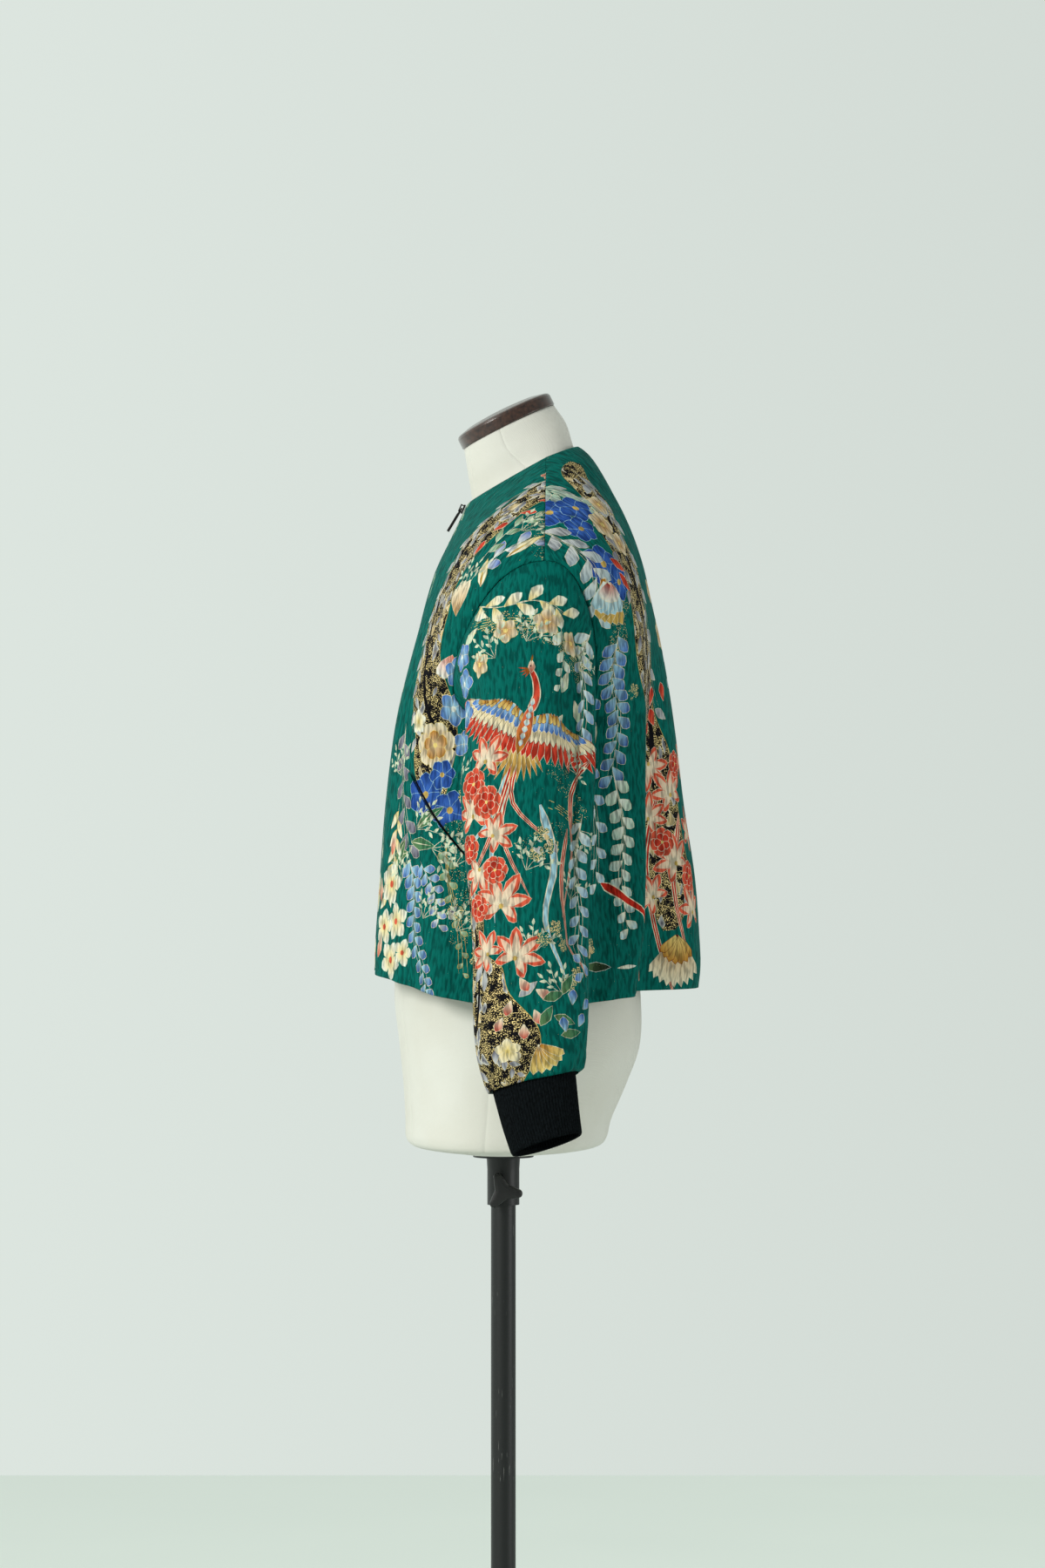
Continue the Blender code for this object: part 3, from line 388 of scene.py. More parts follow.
class Panel:
    """One cut piece. Its surface is laid flat as a grid, and its border is drawn on that.

    The border is two lines of surface coordinates: the hem or lower edge, then the rest."""

    def __init__(self, name, around, levels, surface, normals, hold, border):
        self.name, self.surface, self.normals = name, surface, normals
        self.around, self.levels = around, levels
        worn = surface(around.ravel(), levels.ravel()).reshape(*around.shape, 3)
        flat = eased_flat(worn, flat_start(worn, hold[1]))
        self.flat = (flat - flat[hold[0], hold[1]]).reshape(-1, 2)
        rows, columns = around.shape
        corner = (np.arange(rows - 1)[:, None] * columns + np.arange(columns - 1)).ravel()
        self.cells = np.concatenate([np.stack([corner, corner + 1, corner + columns + 1], 1),
                                     np.stack([corner, corner + columns + 1, corner + columns], 1)])
        self.chart = np.stack([around.ravel() / DEGREES_A_LEVEL, levels.ravel()], 1)
        self.hem, self.seams = (self.flat_places(*line) for line in border)
        self.outline = np.concatenate([self.hem[:-1], self.seams[:-1]])
        size = self.outline.max(0) - self.outline.min(0)
        self.size = (float(size[0]), float(size[1]))
        x, y = self.outline.T
        self.area = abs(float(np.sum(x * np.roll(y, -1) - y * np.roll(x, -1)))) / 2
        print("%-8s flat %.0f x %.0f mm, area %.3f m2" % (name, *(1000 * size), self.area))

    def carried(self, points, source, target):
        """Values of a target grid at points of a source grid."""
        points = np.asarray(points, float)
        finder = BVHTree.FromPolygons([(x, y, 0.0) for x, y in source], self.cells.tolist())
        found = [finder.find_nearest((x, y, 0.0))[2] for x, y in points]
        ids = self.cells[np.array(found)]
        a, b, c = (source[ids[:, k]] for k in range(3))

        def area(p, q):
            return p[:, 0] * q[:, 1] - p[:, 1] * q[:, 0]

        whole = area(b - a, c - a)
        wb, wc = area(points - a, c - a) / whole, area(b - a, points - a) / whole
        weights = np.stack([1 - wb - wc, wb, wc], 1)[:, :, None]
        return (target[ids] * weights).sum(1)

    def flat_places(self, around, levels):
        """Flat places of surface coordinates, in metres."""
        points = np.stack([np.asarray(around) / DEGREES_A_LEVEL, levels], 1)
        return self.carried(points, self.chart, self.flat)

    def worn_places(self, points):
        """Surface coordinates of flat places."""
        chart = self.carried(points, self.flat, self.chart)
        return chart[:, 0] * DEGREES_A_LEVEL, chart[:, 1]


def panel_grid(levels, starts, ends, columns):
    shares = np.linspace(0, 1, columns)[None, :]
    around = starts[:, None] + (ends - starts)[:, None] * shares
    return around, np.repeat(levels[:, None], columns, 1)


def joined(*lines):
    """One line of (around, level) points from several that follow each other."""
    lines = [np.stack(np.broadcast_arrays(*line), 1).astype(float) for line in lines]
    return np.concatenate([lines[0]] + [line[1:] for line in lines[1:]]).T


DEGREES_A_LEVEL = 9.0
ZIP_EDGE, SEAM_DEG = 0.0029, 0.02
body_levels = np.linspace(0, HEM, 49)
half_width = rows_at(BODY, body_levels)
zip_angles = np.degrees(np.arcsin((ZIP_EDGE / half_width[:, 2]) ** (1 / half_width[:, 7])))
up, down = np.linspace(HEM, UNDERARM, 40), np.linspace(0, ARMHOLE_TOP, 40)
half_turn = np.linspace(0, 180, 61)
front_edge, front_hole = 90 - SEAM_DEG, armhole(half_turn[::-1])
front_panel = Panel(
    "front", *panel_grid(body_levels, zip_angles, 0 * body_levels + 90, 27),
    body_points, body_normals, (-1, 0),
    (joined((np.linspace(zip_angles[-1], front_edge, 40), HEM)),
     joined((front_edge, up), (front_hole[0] - SEAM_DEG, front_hole[1]), (front_edge, down[::-1]),
            (np.linspace(front_edge, zip_angles[0], 40), 0), (zip_angles, body_levels))))
back_edge, back_hole = 90 + SEAM_DEG, armhole(-half_turn)
back_panel = Panel(
    "back", *panel_grid(body_levels, 0 * body_levels + 90, 0 * body_levels + 270, 61),
    body_points, body_normals, (-1, 30),
    (joined((np.linspace(back_edge, 360 - back_edge, 80), HEM)),
     joined((360 - back_edge, up), (360 - back_hole[0][::-1] - SEAM_DEG, back_hole[1][::-1]),
            (360 - back_edge, down[::-1]), (np.linspace(360 - back_edge, back_edge, 80), 0),
            (back_edge, down), (back_hole[0] + SEAM_DEG, back_hole[1]), (back_edge, up[::-1]))))
sleeve_levels = np.linspace(0, SLEEVE_END, 61)
full_turn = np.full(61, 180.0)
round_turns = np.linspace(180, -180, 121)
sleeve_panel = Panel(
    "sleeve", *panel_grid(sleeve_levels, full_turn, -full_turn, 49), sleeve_points, sleeve_normals, (-1, 24),
    (joined((round_turns, SLEEVE_END)),
     joined((-180, sleeve_levels[::-1]), (round_turns[::-1], 0), (180, sleeve_levels))))

# %% [markdown]
# ## Inks and motifs
# The cloth is printed like a formal kimono: flowers, hanging blooms, leaves, cloud bands
# with gold sand, and a long-tailed bird in flight. It is all common ornament of such
# cloth, built here from a few leaf and petal outlines. A motif is a list of flat shapes in
# centimetres, laid on each other like a stencil printer's layers, each with two inks
# that fade into each other, as a brushed-in colour does.

# %% Inks
def ink(red, green, blue):
    """A colour as it is picked on a screen, in the linear values that Blender mixes."""
    return tuple(((c / 255 + 0.055) / 1.055) ** 2.4 for c in (red, green, blue))


GREEN, BLACK, CREAM, WHITE = ink(2, 104, 95), ink(20, 20, 24), ink(240, 230, 200), ink(236, 240, 230)
GOLD, OCHRE, YELLOW = ink(214, 180, 98), ink(186, 126, 44), ink(238, 212, 130)
RED, CORAL, MAROON = ink(200, 48, 34), ink(226, 96, 70), ink(112, 28, 30)
BLUE, DEEP_BLUE, SKY = ink(66, 112, 196), ink(34, 70, 148), ink(164, 208, 222)
GREY, LILAC, MIST = ink(150, 152, 160), ink(112, 108, 128), ink(205, 208, 206)
LEAF_GREEN, PALE_GREEN, MOSS = ink(52, 124, 92), ink(182, 212, 184), ink(96, 128, 84)
RIM = 0.045

# One side of an outline: share of the length, and share of half the width.
ROUND = ((0, 0.06), (0.26, 0.54), (0.58, 1.0), (0.88, 0.78), (1, 0))
BUD = ((0, 0.10), (0.30, 0.62), (0.62, 1.0), (0.86, 0.60), (1, 0))
LEAF = ((0, 0.0), (0.16, 0.56), (0.42, 1.0), (0.75, 0.60), (1, 0))
FEATHER = ((0, 0.40), (0.45, 0.85), (0.85, 0.95), (1, 0))


def blend_ink(one, other, share):
    return tuple(a + (b - a) * share for a, b in zip(one, other))


def lay(cloth, outline, root, tip=None, axis=((0, 0), (0, 1)), sand=0.0):
    """Adds one flat shape: its outline turns left, and its ink fades along the axis."""
    turning = sum(a[0] * b[1] - b[0] * a[1] for a, b in zip(outline, outline[1:] + outline[:1]))
    points = outline if turning > 0 else outline[::-1]
    cloth.append((points, root, root if tip is None else tip, axis, sand))


def petal_outline(x, y, heading, length, width, form, bend, grow):
    along = (cos(radians(heading)), sin(radians(heading)))
    sides = []
    for side in (1, -1):
        for share, half in form:
            s = (length + 2 * grow) * share - grow
            t = side * half * (width / 2 + grow) + bend * share * share
            sides.append((x + along[0] * s - along[1] * t, y + along[1] * s + along[0] * t))
    count = len(form)
    left, right = sides[:count], sides[count:]
    if form[0][1] == 0:
        right = right[1:]
    return left + right[-2::-1]


def petal(cloth, x, y, heading, length, width, root, tip, form=BUD, rim=CREAM, bend=0.0, sand=0.0):
    """A petal or leaf from its root, with a thin rim of another ink."""
    if rim is not None:
        lay(cloth, petal_outline(x, y, heading, length, width, form, bend, RIM), rim)
    reach = (x + cos(radians(heading)) * length, y + sin(radians(heading)) * length)
    lay(cloth, petal_outline(x, y, heading, length, width, form, bend, 0.0), root, tip,
        ((x, y), reach), sand)


def disc(cloth, x, y, radius, colour):
    points = [(x + radius * cos(tau * k / 7), y + radius * sin(tau * k / 7)) for k in range(7)]
    lay(cloth, points, colour, None, ((x, y - radius), (x, y + radius)))


def smooth_path(points, count):
    return rows_at(points, np.linspace(0, len(points) - 1, count))


def stroke(cloth, path, width, root, tip=None, ends=(1.0, 0.3), wave=0.0, sand=0.0, waves=5.0):
    """A brush stroke along a path, which can taper and have a wavy edge."""
    points = smooth_path(path, (12 if wave else 4) * (len(path) - 1) + 1)
    along = unit(np.gradient(points, axis=0))
    normal = np.stack([-along[:, 1], along[:, 0]], 1)
    share = np.linspace(0, 1, len(points))
    half = width / 2 * (ends[0] + (ends[1] - ends[0]) * share)
    half *= np.sqrt(np.minimum(1, 0.04 + 9 * np.minimum(share, 1 - share)))
    left = half + wave * np.sin(tau * waves * share)
    right = half + wave * np.sin(tau * waves * 1.3 * share + 2)
    sides = list(points + normal * left[:, None]) + list((points - normal * right[:, None])[::-1])
    lay(cloth, [(float(a), float(b)) for a, b in sides], root, tip, (path[0], path[-1]), sand)


# %% Flowers, hanging blooms, leaves and ribbons
def flower(cloth, x, y, size, petals, root, tip, heading=90, width=0.75, form=BUD, rim=CREAM,
           heart=YELLOW):
    for k in range(petals):
        petal(cloth, x, y, heading + 360 * k / petals, size / 2, size / 2 * width, root, tip,
              form, rim)
    disc(cloth, x, y, size * 0.09, heart)


def peony(cloth, x, y, size, root, tip, heading=90, rim=CREAM):
    flower(cloth, x, y, size, 7, root, tip, heading, 0.80, ROUND, rim)
    flower(cloth, x, y, size * 0.62, 5, blend_ink(root, tip, 0.5), root, heading + 30, 0.85, ROUND, rim)


def lily(cloth, x, y, heading, size, root=CREAM, tip=CORAL, rim=CREAM):
    """A fan of pointed petals, each with a second colour inside its rim."""
    for offset, share in ((-104, 0.62), (104, 0.62), (-60, 0.92), (60, 0.92), (-20, 1.08), (24, 0.96)):
        bend = size * 0.0024 * offset
        petal(cloth, x, y, heading + offset, size * share, size * 0.42, tip, tip, BUD, rim, bend)
        petal(cloth, x, y, heading + offset, size * share * 0.88, size * 0.27, root,
              blend_ink(root, tip, 0.45), LEAF, None, bend * 0.7)
    disc(cloth, x, y, size * 0.08, GOLD)


def sprig(cloth, path, count, length, width, spread, root, tip, root_end=None, tip_end=None,
          form=LEAF, rim=CREAM, stem=CREAM, shrink=0.5, sand=0.0):
    """Leaves or blooms on both sides of a stem, smaller and paler towards its end."""
    for aside in (-0.16, 0.0, 0.16) if len(path) > 3 else (0.0,):
        stroke(cloth, [(x + aside * k, y) for k, (x, y) in enumerate(path)], 0.055, stem, ends=(1, 0.6))
    points = smooth_path(path, count + 1)
    for k in range(count):
        share = k / count
        step = points[k + 1] - points[k]
        towards = degrees(np.arctan2(step[1], step[0]))
        side = 1 if k % 2 else -1
        size = 1 - shrink * share
        a = root if root_end is None else blend_ink(root, root_end, share)
        b = tip if tip_end is None else blend_ink(tip, tip_end, share)
        petal(cloth, *points[k + 1], towards + side * spread, length * size, width * size, a, b,
              form, rim, sand=sand)


def fan(cloth, x, y, heading, spread, count, length, width, root, tip, rim=CREAM, form=FEATHER,
        bend=0.0):
    for k in range(count):
        share = k / max(1, count - 1)
        petal(cloth, x, y, heading + spread * (share - 0.5), length * (1 - 0.25 * share), width,
              root, tip, form, rim, bend)


def ribbon(cloth, path, width, outer=CREAM, middle=RED, line=CREAM):
    stroke(cloth, path, width, outer)
    stroke(cloth, path, width * 0.74, middle)
    if line is not None:
        stroke(cloth, path, width * 0.16, line)


def cloud_band(cloth, path, width, ends):
    for edge, colour, sand in ((0.12, GOLD, 0.0), (0.0, BLACK, 1.0)):
        stroke(cloth, path, width + edge, colour, None, ends, wave=width * 0.07, sand=sand, waves=4)


def gold_mist(cloth, path, width, sand):
    stroke(cloth, path, width, GREEN, None, (1.0, 0.8), wave=width * 0.12, sand=sand, waves=3)


def gold_blossom(cloth, x, y, size, heading):
    """A small five-petalled flower that is only dusted in gold."""
    for k in range(5):
        petal(cloth, x, y, heading + 72 * k, size / 2, size * 0.36, GREEN, GREEN, ROUND, None, sand=1.6)


def gold_lines(cloth, x, y, width, height, lean):
    """A drift of mist, drawn as rows of short gold dashes."""
    row_gap, dash_gap = 0.26, 1.05
    for row in range(int(height / row_gap)):
        start, place = x + 0.37 * (row % 3), y + row_gap * row
        for k in range(int(width / dash_gap)):
            left = start + dash_gap * k + 0.3 * ((k * 5 + row * 3) % 4) / 3
            length = 0.45 + 0.5 * ((k * 3 + row * 7) % 5) / 4
            low = place + lean * (left - x)
            lay(cloth, [(left, low), (left + length, low + lean * length),
                        (left + length, low + lean * length + 0.055), (left, low + 0.055)], YELLOW)


def spray(cloth, x, y, heading, size):
    """A tuft of thin stems with small leaves."""
    for k, aside in enumerate((-46, -16, 14, 42)):
        turn = radians(heading + aside)
        reach = size * (1 - 0.12 * (k % 2))
        end = (x + reach * cos(turn), y + reach * sin(turn))
        middle = (x + reach * 0.5 * cos(turn + 0.12), y + reach * 0.5 * sin(turn + 0.12))
        stroke(cloth, [(x, y), middle, end], 0.05, CREAM, ends=(1, 0.7))
        for share, side in ((0.45, 42), (0.62, -42), (0.8, 38), (1.0, -8)):
            root = (x + share * (end[0] - x), y + share * (end[1] - y))
            turned_to = heading + aside + side
            petal(cloth, *root, turned_to, size * 0.27, size * 0.12, PALE_GREEN, CREAM, LEAF, None)


def bird(cloth, x, y, heading, size):
    """A long-tailed bird seen from above in flight. The size is its wing's reach."""
    def spot(angle, distance):
        turn = radians(heading + angle)
        return x + distance * size * cos(turn), y + distance * size * sin(turn)

    def wing(side):
        """Rows of feathers hang on the wing's arm: inner ones point back and outer ones out."""
        arm = smooth_path([spot(side * 70, 0.08), spot(side * 66, 0.50), spot(side * 84, 0.98)], 15)
        for count, length, width, first, second, rim in (
                (15, 1.25, 0.135, CORAL, RED, CREAM), (15, 0.80, 0.120, GOLD, CREAM, BLACK),
                (13, 0.48, 0.110, SKY, BLUE, CREAM), (11, 0.24, 0.085, OCHRE, YELLOW, MAROON)):
            for k in range(count):
                share = k / (count - 1)
                root = arm[round(share * 14)]
                turn = heading + side * (176 - 88 * share**1.4)
                petal(cloth, *root, turn, length * size * (0.58 + 0.46 * share), width * size,
                      first, second, FEATHER, rim, bend=side * 0.10 * length * size)

    tail = ((-1.2, 166, 2.6, BLACK, OCHRE), (0.9, 189, 3.4, RED, CREAM), (-0.7, 170, 3.2, SKY, None),
            (0.4, 183, 3.9, SKY, None), (-0.3, 176, 3.7, RED, CREAM), (1.5, 196, 2.5, RED, CREAM))
    for bend, angle, reach, colour, line in tail:
        path = [(x, y), spot(angle - 9 * bend, reach * 0.3), spot(angle - 6 * bend, reach * 0.65),
                spot(angle + 9 * bend, reach)]
        ribbon(cloth, path, 0.17 * size, CREAM, colour, line)
    fan(cloth, *spot(180, 0.25), heading + 180, 84, 11, 1.15 * size, 0.12 * size, YELLOW, OCHRE, form=LEAF)
    wing(1)
    wing(-1)
    neck = [spot(0, 0.10), spot(-6, 0.42), spot(5, 0.70), spot(14, 0.92)]
    petal(cloth, *spot(180, 0.72), heading, 1.05 * size, 0.30 * size, OCHRE, CORAL, LEAF, CREAM)
    stroke(cloth, neck, 0.20 * size, CREAM, ends=(1, 0.5))
    stroke(cloth, neck, 0.15 * size, CORAL, RED, ends=(1, 0.5))
    for k in range(7):
        width = 0.13 * size * (1 - 0.08 * abs(k - 3))
        petal(cloth, *spot(180, 0.55 - 0.13 * k), heading, 0.15 * size, width, SKY, CREAM, LEAF, RED)
    fan(cloth, *spot(13, 0.90), heading + 128, 60, 4, 0.26 * size, 0.035 * size, OCHRE, RED, None, LEAF)
    petal(cloth, *spot(12, 0.84), heading + 16, 0.24 * size, 0.13 * size, CORAL, CREAM, LEAF, CREAM)
    petal(cloth, *spot(13, 1.04), heading + 4, 0.15 * size, 0.045 * size, OCHRE, BLACK, LEAF, None)
    disc(cloth, *spot(13.5, 0.96), 0.016 * size, BLACK)


# %% [markdown]
# ## What is printed where
# Places are in centimetres on the flat cut: up from the hem or cuff, and across from the
# zip edge, the middle of the back or the middle of the sleeve. The layout keeps what
# matters of the real cloth: plain green near the neck and zip, black cloud bands with
# gold sand, blue hanging blooms, and red and cream flowers along sleeve and back. Each
# line below lays one more motif over what is there already.

# %% Print of the front
def print_front():
    cloth = []
    cloud_band(cloth, [(17.5, 55.5), (19.6, 49), (17.9, 41), (16.3, 34), (17.2, 26), (18.6, 17)], 5.4,
               (0.55, 1.1))
    stroke(cloth, [(17.6, 52), (17.3, 44), (15.4, 36), (16.6, 27), (19.6, 21)], 0.42, BLACK, ends=(0.6, 1.2))
    sprig(cloth, [(17.2, 54), (17.0, 46), (14.9, 38), (14.2, 31), (15.2, 23)], 25, 1.7, 0.72, 34,
          GREY, MIST, rim=CREAM, shrink=0.1)
    sprig(cloth, [(19.8, 51), (19.2, 43), (17.6, 36), (18.4, 28)], 15, 1.4, 0.60, 40, LILAC, MIST,
          rim=GOLD, shrink=0.2)
    for x, y, size, turn in ((18.4, 53.6, 2.6, 60), (19.7, 51.2, 2.4, 20), (16.4, 52.0, 2.0, 90),
                             (21.3, 52.3, 2.0, 10)):
        flower(cloth, x, y, size, 5, CREAM, CORAL, turn)
    for x, y, turn in ((20.7, 48.6, 60), (21.2, 46.2, 40), (20.0, 43.4, 50), (19.4, 40.6, 70)):
        petal(cloth, x, y, turn, 1.7, 0.75, CORAL, RED)
    gold_mist(cloth, [(23, 47), (26, 44), (29, 42)], 2.2, 0.6)
    sprig(cloth, [(22.0, 38.5), (24.4, 42.5), (27.5, 46.0), (29.2, 48.5)], 11, 2.1, 1.15, 42, WHITE, BLUE,
          WHITE, DEEP_BLUE, BUD, CREAM, WHITE, 0.2)
    sprig(cloth, [(21.4, 40.0), (22.4, 44.6), (24.0, 48.6)], 8, 2.0, 0.8, 38, PALE_GREEN, MOSS)
    for x, y, turn, length in ((24.8, 41.0, 68, 4.4), (27.2, 45.8, 72, 3.8), (23.4, 37.6, 100, 3.0)):
        petal(cloth, x, y, turn, length, 1.15, WHITE, YELLOW, LEAF, GOLD, bend=0.5)
        petal(cloth, x, y, turn, length * 0.6, 0.35, OCHRE, YELLOW, LEAF, None, bend=0.2)
    fan(cloth, 20.6, 34.6, 95, 46, 4, 3.6, 1.05, OCHRE, CREAM, CREAM, ROUND)
    fan(cloth, 20.4, 31.0, 250, 60, 4, 2.8, 0.95, CORAL, WHITE, CREAM, ROUND)
    for x, y, size, turn in ((20.9, 29.4, 3.0, 15), (20.2, 25.9, 3.4, 60), (21.4, 22.6, 2.8, 10)):
        flower(cloth, x, y, size, 5, SKY, BLUE, turn, 0.82, rim=CREAM, heart=WHITE)
    peony(cloth, 18.0, 22.4, 4.6, OCHRE, CREAM, 70, YELLOW)
    flower(cloth, 15.6, 24.6, 2.4, 5, YELLOW, WHITE, 20)
    for x, y, size, turn in ((17.2, 17.6, 4.4, 35), (20.2, 16.2, 4.0, 80), (19.0, 19.6, 3.0, 10)):
        flower(cloth, x, y, size, 6, BLUE, DEEP_BLUE, turn, 0.9, rim=SKY, heart=GOLD)
    gold_mist(cloth, [(20.6, 15.2), (22.6, 10.0), (23.0, 3.0)], 3.8, 0.55)
    sprig(cloth, [(12.6, 24.4), (12.9, 21.0), (13.9, 16.6), (15.3, 12.6)], 10, 1.9, 1.05, 42, GREY, LILAC,
          rim=CREAM, form=BUD, shrink=-0.1)
    for x, y, turn in ((15.6, 13.0, -6), (15.2, 12.0, 196), (16.6, 14.4, 36), (14.6, 13.2, 240)):
        petal(cloth, x, y, turn, 3.6, 1.25, MOSS, LEAF_GREEN, LEAF, CREAM)
        petal(cloth, x, y, turn, 3.2, 0.10, CREAM, CREAM, LEAF, None)
    sprig(cloth, [(15.4, 11.6), (16.6, 8.4), (17.2, 4.4), (18.9, 0.6), (20.0, -2.4)], 22, 1.75, 1.15, 52,
          SKY, BLUE, SKY, DEEP_BLUE, BUD, CREAM, MIST, 0.35)
    sprig(cloth, [(17.4, 11.2), (19.4, 8.6), (20.6, 5.0)], 12, 1.35, 0.85, 52, SKY, BLUE, WHITE, BLUE,
          BUD, CREAM, MIST, 0.3)
    sprig(cloth, [(20.2, 13.2), (21.0, 9.2), (22.8, 4.6), (23.6, 0.6)], 12, 1.15, 0.7, 50, PALE_GREEN, MOSS,
          rim=GOLD, form=BUD, stem=GOLD)
    sprig(cloth, [(12.8, 16.8), (12.6, 12.0), (11.6, 7.6)], 11, 2.2, 0.85, 36, YELLOW, WHITE, rim=GOLD,
          shrink=0.1)
    for x, y, size, turn in ((12.4, 8.8, 4.2, 80), (14.0, 5.2, 3.8, 30), (11.4, 4.6, 3.6, 10),
                             (13.0, 1.4, 4.0, 60), (15.4, 2.2, 2.8, 0)):
        flower(cloth, x, y, size, 5, YELLOW, WHITE, turn, 0.72, rim=PALE_GREEN, heart=CORAL)
    for x, y, turn in ((10.2, 7.0, 100), (12.0, 11.6, 80), (10.2, 1.6, 70)):
        petal(cloth, x, y, turn, 2.4, 1.0, CORAL, CREAM, LEAF)
    for x, y, size in ((23.4, 12.6, 1.9), (22.0, 6.4, 1.7), (25.6, 7.8, 1.8), (25.0, 2.2, 2.0),
                       (21.6, 17.8, 1.5)):
        gold_blossom(cloth, x, y, size, 40 * x)
    for x, y in ((3.2, 50.0), (5.0, 41.0), (3.0, 30.0), (6.0, 19.0)):
        sprig(cloth, [(x, y), (x + 1.2, y - 3.4), (x + 0.6, y - 7.0)], 9, 1.5, 0.7, 42, PALE_GREEN,
              LEAF_GREEN)
    for x, y, turn, size in ((23.6, 44.4, 80, 3.2), (21.6, 37.2, 110, 3.0), (25.4, 47.6, 100, 2.8),
                             (16.4, 14.2, 40, 3.0), (18.8, 12.4, 350, 3.0), (21.4, 10.8, 70, 2.8),
                             (12.6, 19.4, 110, 2.8), (22.4, 4.6, 60, 2.8), (14.6, 9.2, 120, 2.8),
                             (18.6, 5.6, 60, 2.6), (23.4, 15.4, 100, 2.6)):
        spray(cloth, x, y, turn, size)
    for x, y, size in ((6.4, 12.0, 3.8), (3.4, 7.8, 4.2), (7.2, 4.4, 4.4), (3.0, 1.6, 3.4)):
        flower(cloth, x, y, size, 5, YELLOW, WHITE, 33 * x, 0.72, rim=PALE_GREEN, heart=CORAL)
    return cloth


print("front motif shapes:", len(print_front()))


